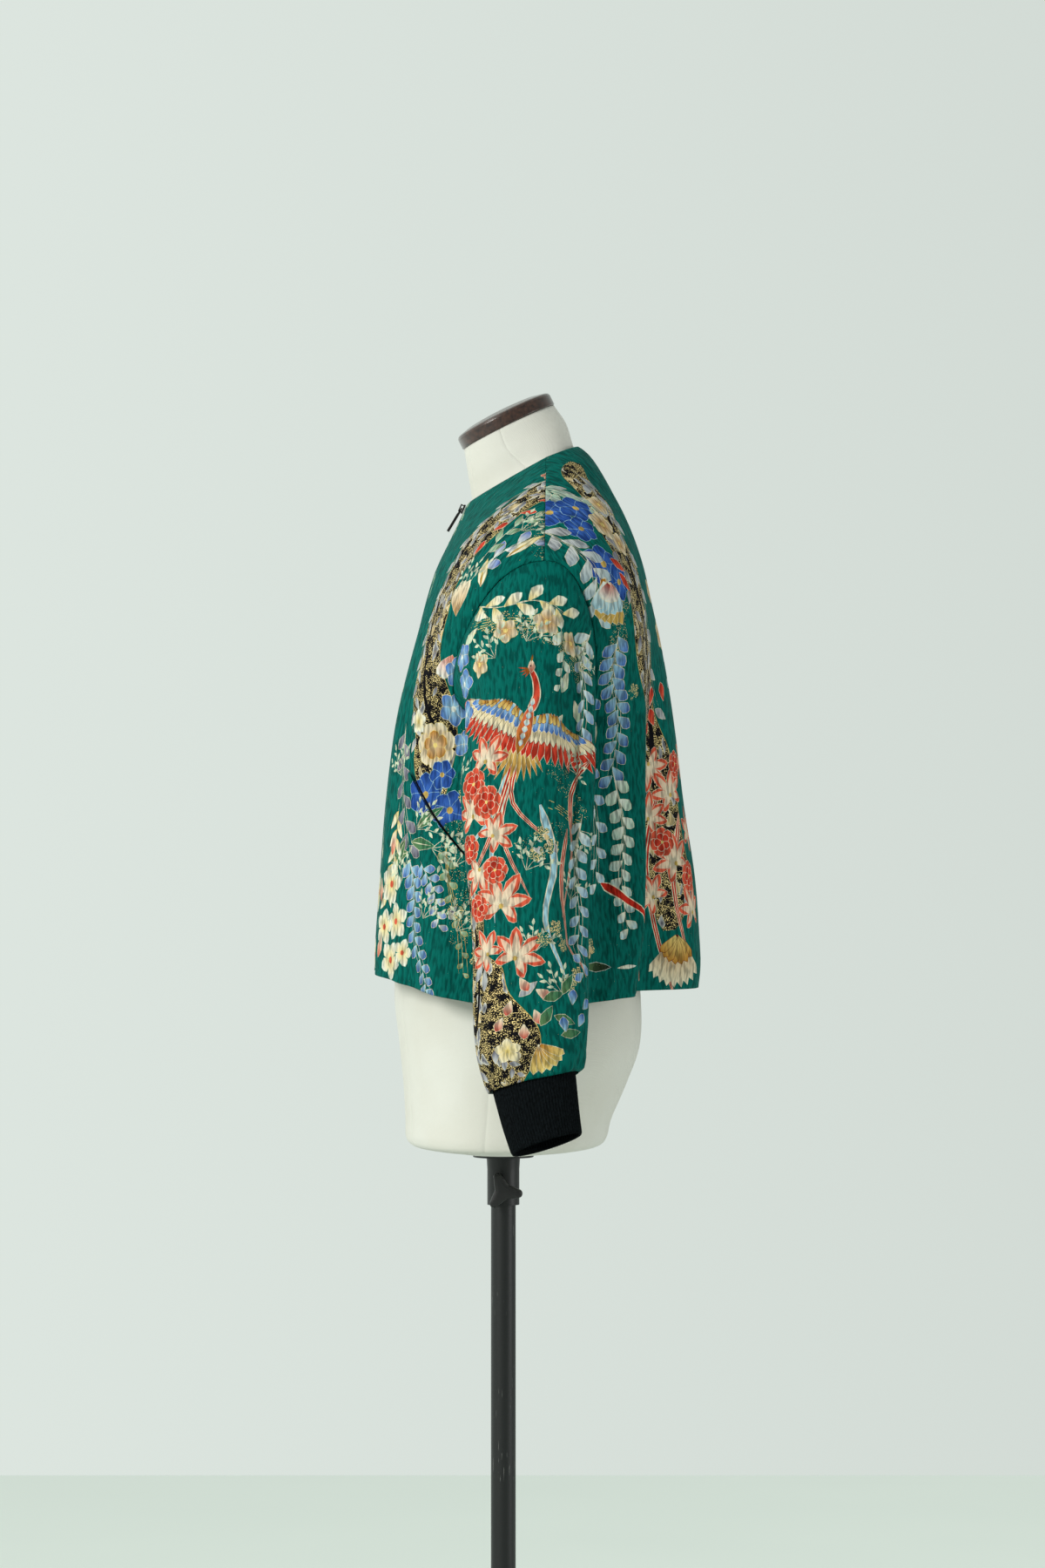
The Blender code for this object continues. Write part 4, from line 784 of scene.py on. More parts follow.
# %% Print of the back
def print_back_half(cloth, side):
    """One half of the back. The side is -1 on the wearer's left and 1 on the right."""
    half = []
    cloud_band(half, [(9.5, 55.0), (13.6, 50.5), (15.4, 44), (14.6, 36), (11.2, 27), (8.4, 17), (8.0, 6)],
               6.2, (0.5, 1.15))
    stroke(half, [(12.0, 52), (15.0, 45), (13.6, 36), (9.6, 27.5), (9.0, 20)], 0.6, BLACK, ends=(0.6, 1.4))
    sprig(half, [(11.2, 54.2), (13.0, 49.5), (13.4, 43), (11.8, 35.5), (8.6, 28)], 15, 2.2, 1.0, 36, GREY,
          MIST, rim=CREAM, shrink=0.05)
    sprig(half, [(14.2, 51.5), (17.2, 45.0), (16.6, 38), (13.4, 29.5), (10.6, 23)], 14, 2.1, 1.0, 40, LILAC,
          MIST, rim=GOLD, shrink=0.1)
    gold_mist(half, [(18.5, 41.5), (19.8, 36), (20.6, 31)], 2.6, 0.7)
    sprig(half, [(17.0, 54.6), (17.2, 51.4), (15.6, 48.6)], 12, 2.4, 1.0, 46, PALE_GREEN, GREY, rim=CREAM,
          shrink=0.1)
    for x, y, size, turn in ((20.6, 50.6, 4.6, 20), (17.9, 49.6, 4.0, 60), (20.0, 47.2, 3.4, 0),
                             (20.7, 43.0, 4.4, 50), (19.0, 41.0, 3.8, 15), (20.9, 39.6, 3.2, 80)):
        flower(half, x, y, size, 6, BLUE, DEEP_BLUE, turn, 0.86, rim=SKY, heart=GOLD)
    for x, y, size in ((16.4, 47.0, 3.4), (15.2, 44.8, 2.6), (14.2, 49.2, 2.4)):
        flower(half, x, y, size, 5, OCHRE, CREAM, 50, 0.9, rim=YELLOW)
    sprig(half, [(23.5, 50.0), (22.9, 46.0), (22.0, 42.4), (22.0, 38.4)], 11, 2.6, 1.25, 40, MIST, GREY,
          WHITE, SKY, BUD, CREAM, CREAM, 0.2)
    fan(half, 21.2, 41.6, 262, 34, 5, 5.2, 1.3, OCHRE, GOLD, CREAM, FEATHER)
    fan(half, 21.0, 41.2, 268, 60, 5, 3.6, 1.4, WHITE, SKY, CREAM, FEATHER)
    fan(half, 20.6, 41.0, 275, 70, 4, 2.0, 1.2, RED, WHITE, CREAM, FEATHER)
    for x, y, turn in ((19.4, 43.4, 215), (18.6, 41.9, 230)):
        petal(half, x, y, turn, 2.6, 0.9, RED, CORAL, LEAF)
    sprig(half, [(19.6, 36.4), (20.2, 32.0), (19.2, 27.5), (20.0, 22.0)], 20, 1.9, 1.2, 46, SKY, BLUE, SKY,
          DEEP_BLUE, BUD, CREAM, CREAM, 0.1)
    sprig(half, [(19.8, 22.4), (19.1, 17.0), (19.8, 12.0), (19.4, 7.0)], 18, 1.8, 1.2, 48, WHITE, PALE_GREEN,
          CREAM, SKY, BUD, CREAM, CREAM, 0.35)
    sprig(half, [(22.4, 31.0), (22.9, 25.0), (22.0, 18.0), (22.6, 11.5)], 16, 1.7, 1.1, 50, SKY, BLUE,
          WHITE, SKY, BUD, CREAM, CREAM, 0.2)
    petal(half, 21.6, 27.0, 292, 4.0, 1.25, WHITE, CREAM, LEAF, GOLD, bend=0.5)
    petal(half, 21.8, 26.2, 292, 2.2, 0.4, OCHRE, YELLOW, LEAF, None, bend=0.2)
    ribbon(half, [(21.8, 11.6), (19.8, 10.2), (17.6, 8.6), (17.2, 7.4)], 1.1, CREAM, RED, None)
    petal(half, 21.6, 3.4, 4, 3.6, 0.95, BLACK, MOSS, LEAF, WHITE)
    petal(half, 18.6, 3.4, 356, 2.2, 0.4, WHITE, CREAM, LEAF, None)
    for x, y, size in ((24.5, 21, 2.2), (25.6, 12, 2.4), (24.2, 5.4, 2.2), (17.4, 30.2, 1.8),
                       (26.6, 27, 2.0)):
        gold_blossom(half, x, y, size, 50 * y)
    for path in ([(8.6, 19.5), (10.6, 12.5), (9.2, 4.5), (7.0, -1)], [(5.6, 17.5), (7.4, 10.5), (5.4, 2.5)],
                 [(11.2, 14.5), (12.8, 8.5), (11.4, 1.0)]):
        ribbon(half, path, 0.95, CREAM, RED, CREAM)
    stroke(half, [(9.4, 30), (10.4, 22), (8.8, 14)], 0.35, BLACK, ends=(1, 0.5))
    for x, y, turn in ((9.8, 28.4, 100), (8.8, 26.4, 60), (11.2, 25.2, 130), (7.0, 28.8, 80)):
        petal(half, x, y, turn, 1.9, 1.3, CORAL, RED)
    for x, y, turn, size in ((9.6, 22.6, 250, 2.9), (6.8, 19.4, 70, 2.9), (9.9, 17.2, 120, 2.6),
                             (6.9, 12.6, 60, 3.1), (4.2, 7.6, 80, 3.0), (9.8, 9.4, 40, 2.6),
                             (3.0, 15.2, 110, 2.8), (2.4, 23.4, 260, 2.8)):
        lily(half, x, y, turn, size)
    for x, y, size in ((8.4, 14.8, 3.0), (4.6, 11.2, 3.2), (5.4, 22.4, 2.8)):
        peony(half, x, y, size, RED, CORAL, 40, CREAM)
    fan(half, 7.6, 5.0, 262, 90, 9, 5.4, 0.95, OCHRE, CREAM, CREAM, FEATHER, 0.3)
    fan(half, 7.2, 5.4, 268, 100, 7, 3.2, 0.9, YELLOW, OCHRE, MAROON, FEATHER, 0.2)
    sprig(half, [(2.6, 50.0), (3.6, 44.0), (2.6, 38.0), (3.4, 31.0)], 16, 2.0, 1.2, 46, SKY, BLUE, WHITE, SKY,
          BUD, CREAM, CREAM, 0.3)
    for x, y, size, turn in ((1.6, 33.0, 3.8, 0), (4.8, 35.4, 3.2, 30), (5.8, 40.0, 2.6, 60)):
        flower(half, x, y, size, 5, OCHRE, CREAM, turn, 0.8, rim=YELLOW)
    for points, root, tip, axis, sand in half:
        turned = [(side * x, y) for x, y in points]
        lay(cloth, turned, root, tip, tuple((side * x, y) for x, y in axis), sand)


# %% Print of the sleeve
def print_sleeve():
    cloth = []
    cloud_band(cloth, [(-13.5, 27), (-8.6, 19), (-6.9, 11.5), (-4.4, 6.0), (-3.0, -1.0)], 6.6, (0.4, 1.5))
    stroke(cloth, [(-8.6, 22), (-6.6, 16), (-5.6, 9), (-6.6, 3)], 0.5, BLACK, ends=(1, 0.5))
    sprig(cloth, [(-8.0, 12.0), (-7.4, 7.0), (-6.6, 2.6), (-6.8, -0.6)], 13, 1.7, 0.85, 40, LILAC, MIST,
          rim=CREAM, shrink=0.1)
    sprig(cloth, [(-3.8, 4.0), (-2.4, 2.2), (-1.4, 0.2)], 7, 1.5, 0.8, 44, LILAC, MIST, rim=GOLD)
    gold_mist(cloth, [(-6.5, 46.6), (-2.5, 45.6), (3.4, 43.4), (6.0, 40.5)], 2.4, 0.7)
    gold_mist(cloth, [(1.6, 33.0), (4.2, 29.6), (7.4, 26.8)], 2.2, 0.6)
    gold_mist(cloth, [(-1.5, 22.6), (2.6, 25.2), (5.0, 24.6)], 1.6, 0.5)
    for x, y, turn in ((-7.0, 15.5, 70), (-7.9, 12.6, 110), (-6.2, 10.4, 60), (-1.0, 8.6, 40),
                       (-4.8, 9.4, 90)):
        petal(cloth, x, y, turn, 2.2, 0.9, GREY, MIST, LEAF, CREAM)
    for x, y, turn in ((-5.4, 45.6, 200), (-4.2, 46.4, 150), (4.4, 41.0, 250), (5.2, 38.4, 290),
                       (3.8, 36.6, 230)):
        petal(cloth, x, y, turn, 2.3, 1.05, CREAM, PALE_GREEN, BUD, CREAM)
    sprig(cloth, [(-6.5, 49.0), (-3.2, 47.2), (0.6, 47.6), (3.2, 46.6)], 10, 2.2, 1.15, 45, YELLOW, WHITE,
          rim=PALE_GREEN, form=BUD, shrink=0.1)
    sprig(cloth, [(7.4, 46.5), (6.6, 42.6), (6.9, 37.6), (6.4, 33.0)], 15, 1.8, 1.1, 46, WHITE, SKY, SKY,
          BLUE, BUD, CREAM, CREAM, 0.1)
    sprig(cloth, [(2.9, 45.6), (3.6, 42.4), (3.2, 39.4)], 7, 1.7, 1.0, 44, PALE_GREEN, WHITE, rim=CREAM,
          form=BUD)
    gold_lines(cloth, -6.0, 45.2, 8.4, 1.3, -0.10)
    gold_lines(cloth, 2.2, 43.6, 5.4, 1.1, -0.45)
    gold_lines(cloth, 2.0, 27.2, 5.0, 1.1, -0.30)
    bird(cloth, -0.2, 36.0, 74, 5.2)
    for path in ([(7.6, 32.5), (5.0, 29.0), (5.4, 23.0), (3.6, 16.5)],
                 [(4.6, 25.5), (3.4, 20.0), (4.8, 14.0), (6.4, 10.6)]):
        ribbon(cloth, path, 0.80, CREAM, RED, CREAM)
    ribbon(cloth, [(1.2, 27.5), (2.6, 22.0), (1.6, 16.0), (3.6, 10.4)], 1.0, CREAM, SKY, None)
    for x, y, size, turn in ((1.6, 45.4, 2.8, 20), (-2.4, 44.6, 2.5, 50), (4.6, 44.0, 2.6, 5),
                             (-5.6, 41.8, 2.6, 30)):
        flower(cloth, x, y, size, 5, OCHRE, CREAM, turn, 0.8, rim=YELLOW)
    for x, y, turn, size in ((-3.6, 42.0, 120, 3.0), (-0.4, 43.4, 60, 2.8), (6.4, 41.6, 70, 2.8),
                             (4.4, 31.6, 20, 2.6), (-0.2, 21.0, 60, 3.0), (3.2, 8.8, 100, 2.8),
                             (5.4, 18.4, 80, 2.8), (6.6, 25.4, 300, 2.6), (0.6, 13.0, 80, 2.6),
                             (-8.8, 30.4, 100, 2.6)):
        spray(cloth, x, y, turn, size)
    for x, y, size, turn in ((-8.4, 44.0, 3.0, 20), (-8.8, 41.0, 3.2, 60), (-8.7, 37.6, 3.0, 0),
                             (-9.2, 34.6, 2.6, 30)):
        flower(cloth, x, y, size, 5, SKY, BLUE, turn, 0.85, heart=WHITE)
    for x, y, turn, size in ((-4.6, 32.0, 80, 2.8), (-6.2, 26.8, 100, 3.0), (-3.7, 24.6, 40, 2.6),
                             (-5.2, 21.4, 260, 2.7), (-2.8, 17.6, 80, 3.4), (-1.4, 12.4, 60, 3.2),
                             (-4.4, 13.0, 140, 2.6)):
        lily(cloth, x, y, turn, size)
    for x, y, size, turn in ((-6.2, 30.0, 3.4, 30), (-4.4, 28.0, 3.4, 10), (-6.7, 23.6, 3.0, 60),
                             (-3.4, 21.2, 2.8, 0), (-5.6, 17.6, 2.8, 40)):
        peony(cloth, x, y, size, RED, CORAL, turn, CREAM)
    for x, y, turn in ((-0.9, 10.4, 300), (0.6, 9.2, 330), (-1.8, 8.2, 250), (0.4, 7.2, 290),
                       (-0.6, 5.8, 270), (-2.6, 6.6, 240)):
        petal(cloth, x, y, turn, 1.5, 0.95, CREAM, RED)
    for x, y in ((1.4, 24.6), (2.4, 23.4), (0.9, 22.6), (2.8, 15.4), (1.4, 14.2), (3.6, 13.8), (5.0, 10.8),
                 (4.0, 9.8)):
        gold_blossom(cloth, x, y, 1.7, 60 * y)
    sprig(cloth, [(6.9, 27.0), (6.2, 22.0), (6.5, 16.5), (5.8, 11.0)], 17, 1.7, 1.05, 48, WHITE, SKY, SKY,
          BLUE, BUD, CREAM, CREAM, 0.2)
    for x, y, turn in ((1.2, 8.2, 20), (2.2, 6.6, 340), (0.9, 5.6, 60), (3.2, 8.8, 60), (2.8, 4.6, 10)):
        petal(cloth, x, y, turn, 2.3, 1.0, MOSS, LEAF_GREEN, LEAF, CREAM)
    for x, y, turn in ((4.2, 7.8, 80), (4.9, 5.6, 60), (3.3, 5.0, 100), (5.6, 7.4, 40), (2.2, 3.4, 250)):
        petal(cloth, x, y, turn, 1.5, 1.0, SKY, BLUE)
    fan(cloth, 0.8, 3.6, 292, 80, 6, 3.2, 0.85, OCHRE, YELLOW, CREAM, FEATHER, 0.2)
    flower(cloth, -2.2, 3.2, 2.6, 5, YELLOW, CREAM, 20)
    for x in (-16.5, -12.0, 11.0, 15.5):
        for y in (38, 30, 20, 11, 3):
            flower(cloth, x + (y % 7) * 0.4 - 1, y, 3.2, 5, YELLOW, WHITE, 40 * y, 0.75, rim=PALE_GREEN,
                   heart=CORAL)
        sprig(cloth, [(x, 40), (x + 1.2, 28), (x - 0.6, 16), (x + 0.4, 3)], 18, 2.2, 1.2, 46, SKY, BLUE,
              PALE_GREEN, MOSS, BUD, CREAM, CREAM, 0.1)
    return cloth


print("sleeve motif shapes:", len(print_sleeve()))

# %% [markdown]
# ## From the flat print to worn cloth
# A triangle mesh is laid over the flat cut, with its edges along every outline of the
# print, and each triangle takes the inks of the topmost shape over it. So an edge between
# two inks is sharp at any size and needs no image. Then each point goes to its worn place.
# Rows of extra points follow the edges, where the cloth turns over a seam or a hem, and
# soft creases lie where a worn sleeve and body fold. The pocket's slit gets a painted
# shadow: a dark stroke in the print where its opening lies in shade.

# %% Print a panel
CM = 0.01
MESH_STEP = 0.75
EDGE_ROWS = (0.12, 0.26, 0.45, 0.7)
SEAM_DIP, SEAM_REACH = 0.0007, 0.20
HEM_TURN, HEM_RISE, HEM_GROOVE = 0.45, 0.0004, 0.0005
DRAPE = 0.0009
# Creases on the flat cut: from x, y to x, y in cm, half width in cm, and height in metres.
FOLDS = {
    "sleeve": [(5.6, 45.0, 5.2, 14.0, 1.45, -0.0130), (3.2, 44.0, 3.2, 20.0, 1.2, 0.0030),
               (8.2, 40.0, 7.6, 24.0, 0.8, 0.0018), (-8.0, 34.0, -4.4, 26.5, 0.8, -0.0020),
               (-7.6, 27.5, -2.4, 23.5, 0.8, -0.0018), (2.6, 29.0, 6.0, 24.6, 0.7, -0.0022),
               (-1.0, 14.0, 3.6, 9.0, 0.8, -0.0018), (-6.4, 16.0, -5.4, 6.0, 0.8, -0.0016)],
    "front": [(24.6, 36.0, 20.4, 22.0, 1.1, -0.0020), (26.0, 31.0, 24.2, 12.0, 1.2, -0.0022),
              (17.8, 15.0, 17.4, 2.0, 1.2, 0.0018), (9.0, 30.0, 8.0, 4.0, 1.4, -0.0014)],
    "back": [(side * x, y, side * end_x, end_y, *crease) for side in (-1, 1)
             for x, y, end_x, end_y, *crease in ((22.5, 31.0, 21.2, 4.0, 1.1, -0.0026),
                                                 (18.4, 34.0, 17.6, 6.0, 1.2, 0.0018),
                                                 (12.4, 36.0, 13.2, 8.0, 1.2, -0.0022))],
}


def inside(points, outline):
    """Which points lie in a closed outline, also where it crosses itself."""
    a = np.asarray(outline)
    b = np.roll(a, -1, axis=0)
    x, y = points[:, :1], points[:, 1:]
    side = (b[:, 0] - a[:, 0]) * (y - a[:, 1]) - (x - a[:, 0]) * (b[:, 1] - a[:, 1])
    rises = (a[:, 1] <= y) & (b[:, 1] > y) & (side > 0)
    falls = (a[:, 1] > y) & (b[:, 1] <= y) & (side < 0)
    return rises.sum(1) != falls.sum(1)


def reach_to(points, line):
    """Distance of each point to a line of many short pieces."""
    a, b = line[:-1], line[1:]
    nearest = np.full(len(points), 1e9)
    for start, end in zip(a, b):
        step = end - start
        share = np.clip((points - start) @ step / max(step @ step, 1e-12), 0, 1)
        nearest = np.minimum(nearest, np.linalg.norm(points - start - share[:, None] * step, axis=1))
    return nearest


def ink_mesh(outline, shapes):
    """Flat points, the triangles between them, and the topmost shape of each triangle."""
    low, high = outline.min(0), outline.max(0)
    around = np.roll(outline, -1, axis=0) - np.roll(outline, 1, axis=0)
    inwards = unit(np.stack([-around[:, 1], around[:, 0]], 1))
    if not inside(outline[:1] + 0.01 * inwards[:1], outline)[0]:
        inwards = -inwards
    free = [outline + row * inwards for row in EDGE_ROWS]
    x, y = np.meshgrid(np.arange(low[0], high[0], MESH_STEP), np.arange(low[1], high[1], MESH_STEP))
    x[::2] += MESH_STEP / 2
    free.append(np.stack([x.ravel(), y.ravel()], 1))
    free = np.concatenate(free)
    points, edges = [tuple(p) for p in free[inside(free, outline)]], []
    for ring in [outline.tolist()] + [shape[0] for shape in shapes]:
        corners = np.asarray(ring)
        if np.any(corners.min(0) > high) or np.any(corners.max(0) < low):
            continue
        first, count = len(points), len(ring)
        points += [tuple(p) for p in ring]
        edges += [(first + k, first + (k + 1) % count) for k in range(count)]
    flat, _, triangles, _, _, _ = delaunay_2d_cdt([Vector(p) for p in points], edges, [], 0, 1e-4)
    flat, triangles = np.array(flat), np.array(triangles)
    middles = flat[triangles].mean(1)
    kept = inside(middles, outline)
    triangles, middles = triangles[kept], middles[kept]
    topmost = np.full(len(triangles), -1)
    for k, shape in enumerate(shapes):
        ring = np.asarray(shape[0])
        near = np.flatnonzero(np.all((middles > ring.min(0)) & (middles < ring.max(0)), axis=1))
        if len(near):
            topmost[near[inside(middles[near], ring)]] = k
    used, triangles = np.unique(triangles, return_inverse=True)
    return flat[used], triangles.reshape(-1, 3), topmost


def corner_inks(flat, triangles, topmost, shapes):
    """Red, green, blue and gold sand for each corner of each triangle."""
    root = np.array([GREEN] + [shape[1] for shape in shapes])[topmost + 1]
    tip = np.array([GREEN] + [shape[2] for shape in shapes])[topmost + 1]
    start = np.array([(0, 0)] + [shape[3][0] for shape in shapes])[topmost + 1]
    end = np.array([(0, 1)] + [shape[3][1] for shape in shapes])[topmost + 1]
    sand = np.array([0.0] + [shape[4] for shape in shapes])[topmost + 1]
    along = end - start
    share = ((flat[triangles] - start[:, None]) * along[:, None]).sum(2)
    share = np.clip(share / (along**2).sum(1)[:, None], 0, 1)[:, :, None]
    inks = root[:, None] * (1 - share) + tip[:, None] * share
    return np.concatenate([inks, np.repeat(sand[:, None, None], 3, 1)], 2)


def put_on(obj, node, finishes):
    """Gives a piece its finishes and the body that it moves with, and hides its solid."""
    for finish in finishes:
        obj.data.materials.append(finish)
    bpy.context.scene.collection.objects.link(obj)
    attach(obj, frame["nodes"][node]["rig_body"])
    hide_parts(node)
    return obj


def cloth_piece(name, side, worn, flat, triangles, inks):
    """A printed piece with its thickness and its reverse. The side is -1 for the right one."""
    if side < 0:
        worn, triangles, inks = worn * (-1, 1, 1), triangles[:, ::-1], inks[:, ::-1]
    mesh = bpy.data.meshes.new(name)
    mesh.from_pydata(worn.tolist(), [], triangles.tolist())
    mesh.shade_smooth()
    mesh.color_attributes.new("ink", "FLOAT_COLOR", "CORNER").data.foreach_set("color", inks.ravel())
    places = np.concatenate([flat * CM, np.zeros((len(flat), 1))], 1)
    mesh.attributes.new("cloth", "FLOAT_VECTOR", "POINT").data.foreach_set("vector", places.ravel())
    obj = bpy.data.objects.new(name, mesh)
    wall = obj.modifiers.new("cloth", "SOLIDIFY")
    wall.thickness, wall.offset, wall.material_offset = CLOTH, -1, 1
    return obj


def hump(distance, reach):
    """1 in the middle of a soft hump, and next to nothing beyond twice its reach."""
    return np.exp(-((distance / reach) ** 2))


def relief(panel, flat):
    """How far the cloth rises or dips in its folds, near its seams and at its turned hem."""
    seam, hem = reach_to(flat, panel.seams / CM), reach_to(flat, panel.hem / CM)
    u, v = flat.T
    drape = np.sin(u / 1.15 + 0.9 * np.sin(v / 7.5)) * (0.55 + 0.45 * np.sin(v / 5.2 + 0.6 * u / 4)) * DRAPE
    for x, y, end_x, end_y, half_width, depth in FOLDS[panel.name]:
        aside = reach_to(flat, np.array([(x, y), ((x + end_x) / 2 + 0.4, (y + end_y) / 2), (end_x, end_y)]))
        drape = drape + depth * hump(aside, half_width)
    drape = drape * np.minimum(1, seam / 3)
    turned = drape + HEM_RISE * (hem < HEM_TURN) - HEM_GROOVE * hump(hem - HEM_TURN, 0.10)
    return drape * (1 - panel.hemmed) + turned * panel.hemmed - SEAM_DIP * hump(seam, SEAM_REACH)


def print_panel(panel, shapes, hemmed):
    panel.hemmed = hemmed
    flat, triangles, topmost = ink_mesh(panel.outline / CM, shapes)
    around, levels = panel.worn_places(flat * CM)
    worn = panel.surface(around, levels)
    worn = worn + panel.normals(around, levels) * relief(panel, flat)[:, None]
    print("%-8s print: %d shapes, %d triangles" % (panel.name, len(shapes), len(triangles)))
    return worn, flat, triangles, corner_inks(flat, triangles, topmost, shapes)


# %% The pocket's place, and the three prints
POCKET_FRONT, POCKET_SIDE = (44.8, 8.50), (81.5, 10.05)
WELT_ACROSS = (-7.1, 0.19)
# Width in cm of the painted shadow along the pocket's slit.
SLIT_SHADOW_WIDTH = 0.20


def welt_places(along, across):
    """Angle and level of points on the welt, from its slit across to its sewn edge."""
    angle = POCKET_FRONT[0] + (POCKET_SIDE[0] - POCKET_FRONT[0]) * along + WELT_ACROSS[0] * across
    level = POCKET_FRONT[1] + (POCKET_SIDE[1] - POCKET_FRONT[1]) * along + WELT_ACROSS[1] * across
    return angle, level


back_shapes, front_shapes = [], print_front()
for half_side in (-1, 1):
    print_back_half(back_shapes, half_side)
# Painted shadow: a black stroke in the front's print along the slit, where the pocket's opening lies in
# shade.
slit = front_panel.flat_places(*welt_places(np.linspace(0, 1, 8), np.full(8, -0.03))) / CM
stroke(front_shapes, [tuple(point) for point in slit], SLIT_SHADOW_WIDTH, BLACK, ends=(1, 1))
front_print = print_panel(front_panel, front_shapes, 1.0)
back_print = print_panel(back_panel, back_shapes, 1.0)
sleeve_print = print_panel(sleeve_panel, print_sleeve(), 0.0)

# %% [markdown]
# ## Materials
# Each finish is built from noise and weave patterns on the shader nodes. The crepe takes
# its inks from the mesh. It gets uneven dye, and gold specks where the print has sand. On
# the black bands some cells of a pattern become small leaves. The crinkle of crepe runs
# lengthwise, in fine waves about four millimetres apart, and shade is painted into the
# colour along their valleys.

# %% A short way to add shader nodes
class Finish:
    """A material whose nodes are added one line at a time."""

    def __init__(self, name, colour, roughness, **shine):
        self.material = bpy.data.materials.new(name)
        self.material.use_nodes = True
        self.nodes = self.material.node_tree.nodes
        self.shader = self.nodes["Principled BSDF"]
        self.set(self.shader, {"Base Color": (*colour, 1), "Roughness": roughness, **shine})

    def set(self, node, inputs):
        for key, value in inputs.items():
            if isinstance(value, bpy.types.NodeSocket):
                self.material.node_tree.links.new(value, node.inputs[key])
            else:
                node.inputs[key].default_value = value

    def add(self, kind, inputs=(), output=0, **settings):
        node = self.nodes.new("ShaderNode" + kind)
        for key, value in settings.items():
            setattr(node, key, value)
        self.set(node, dict(inputs))
        return node.outputs[output]

    def stretched(self, place, scale):
        return self.add("Mapping", {"Vector": place, "Scale": scale})

    def noise(self, place, scale, detail=2.0, rough=0.5):
        return self.add("TexNoise", {"Vector": place, "Scale": scale, "Detail": detail, "Roughness": rough})

    def between(self, value, low, high):
        """How far a value has gone from low to high, from 0 to 1."""
        return self.add("MapRange", {"Value": value, "From Min": low, "From Max": high})

    def mix(self, share, one, other, how="MIX"):
        return self.add("Mix", {0: share, 6: one, 7: other}, 2, data_type="RGBA", blend_type=how)

    def math(self, how, one, other):
        return self.add("Math", {0: one, 1: other}, operation=how)

    def times(self, one, other):
        return self.math("MULTIPLY", one, other)

    def own_place(self):
        """A point's place in its piece's own frame, in metres."""
        return self.add("TexCoord", output=3)

    def bump(self, height, distance, strength=1.0, normal=None):
        inputs = {"Height": height, "Distance": distance, "Strength": strength}
        if normal is not None:
            inputs["Normal"] = normal
        return self.add("Bump", inputs)


# %% Crepe, face
def crepe_crinkle(finish, place):
    """Long fine waves down the cloth, with a finer grain over them."""
    waves = finish.noise(finish.stretched(place, (300, 75, 1)), 1.0, 1.0)
    grain = finish.noise(finish.stretched(place, (1500, 900, 1)), 1.0, 2.0)
    return finish.bump(grain, 0.00016, 0.5, finish.bump(waves, 0.0026, 0.9)), waves


LEAF_SHARE_FROM, LEAF_EDGE, LEAF_RIM = 0.70, 0.50, 0.42
crepe = Finish("printed crepe", GREEN, 0.66, **{"Specular IOR Level": 0.03})
cloth_place = crepe.add("Attribute", output=1, attribute_name="cloth")
printed_ink = crepe.add("Attribute", attribute_name="ink")
sand_amount = crepe.add("Attribute", output=3, attribute_name="ink")
crinkle, crinkle_waves = crepe_crinkle(crepe, cloth_place)
sway = crepe.add("TexNoise", {"Vector": cloth_place, "Scale": 55}, 1)
swayed = crepe.add("VectorMath", {0: sway, 1: (0.022, 0.022, 0), 2: cloth_place}, operation="MULTIPLY_ADD")
leaf_reach = crepe.add("TexVoronoi", {"Vector": crepe.stretched(swayed, (120, 68, 1)), "Scale": 1,
                                      "Randomness": 0.7, "Exponent": 1.3}, voronoi_dimensions="2D",
                       distance="MINKOWSKI")
leaf_chance = crepe.add("SeparateColor", {"Color": leaf_reach.node.outputs["Color"]})
on_band = crepe.math("GREATER_THAN", sand_amount, 0.9)
has_leaf = crepe.times(on_band, crepe.math("GREATER_THAN", leaf_chance, LEAF_SHARE_FROM))
in_leaf = crepe.times(has_leaf, crepe.math("LESS_THAN", leaf_reach, LEAF_EDGE))
in_rim = crepe.times(in_leaf, crepe.math("GREATER_THAN", leaf_reach, LEAF_RIM))
leaf_ink = crepe.mix(crepe.between(leaf_reach, 0.0, LEAF_RIM), (*ink(84, 82, 100), 1),
                     (*ink(196, 198, 196), 1))
leaf_ink = crepe.mix(crepe.between(leaf_chance, 0.90, 0.91), leaf_ink, (*ink(214, 190, 140), 1))
leaf_ink = crepe.mix(in_rim, leaf_ink, (*ink(232, 222, 196), 1))
inked = crepe.mix(in_leaf, printed_ink, leaf_ink)
uneven = crepe.between(crepe.noise(cloth_place, 75, 3.0), 0.3, 0.7)
dyed = crepe.mix(0.24, inked, crepe.mix(uneven, (0.55, 0.55, 0.55, 1), (1, 1, 1, 1)), "MULTIPLY")
# Painted shade: the colour is darkened along the valleys of the crinkle's waves.
ink_with_painted_shade = crepe.mix(crepe.times(crepe.between(crinkle_waves, 0.54, 0.40), 0.70), dyed, (0.34, 0.36, 0.38, 1),
                   "MULTIPLY")
flakes = crepe.noise(cloth_place, 820, 1.0)
drifts = crepe.between(crepe.noise(cloth_place, 95, 3.0, 0.6), 0.30, 0.54)
bare_sand = crepe.math("SUBTRACT", sand_amount, crepe.times(in_leaf, 1.2))
bareness = crepe.add("MapRange", {"Value": crepe.times(bare_sand, drifts), "To Min": 0.80, "To Max": 0.53})
is_gold = crepe.math("GREATER_THAN", flakes, bareness)
crepe.set(crepe.shader, {
    "Base Color": crepe.mix(is_gold, ink_with_painted_shade, (*ink(228, 204, 140), 1)),
    "Roughness": crepe.add("MapRange", {"Value": is_gold, "To Min": 0.66, "To Max": 0.42}),
    "Metallic": crepe.times(is_gold, 0.25),
    "Normal": crinkle,
})

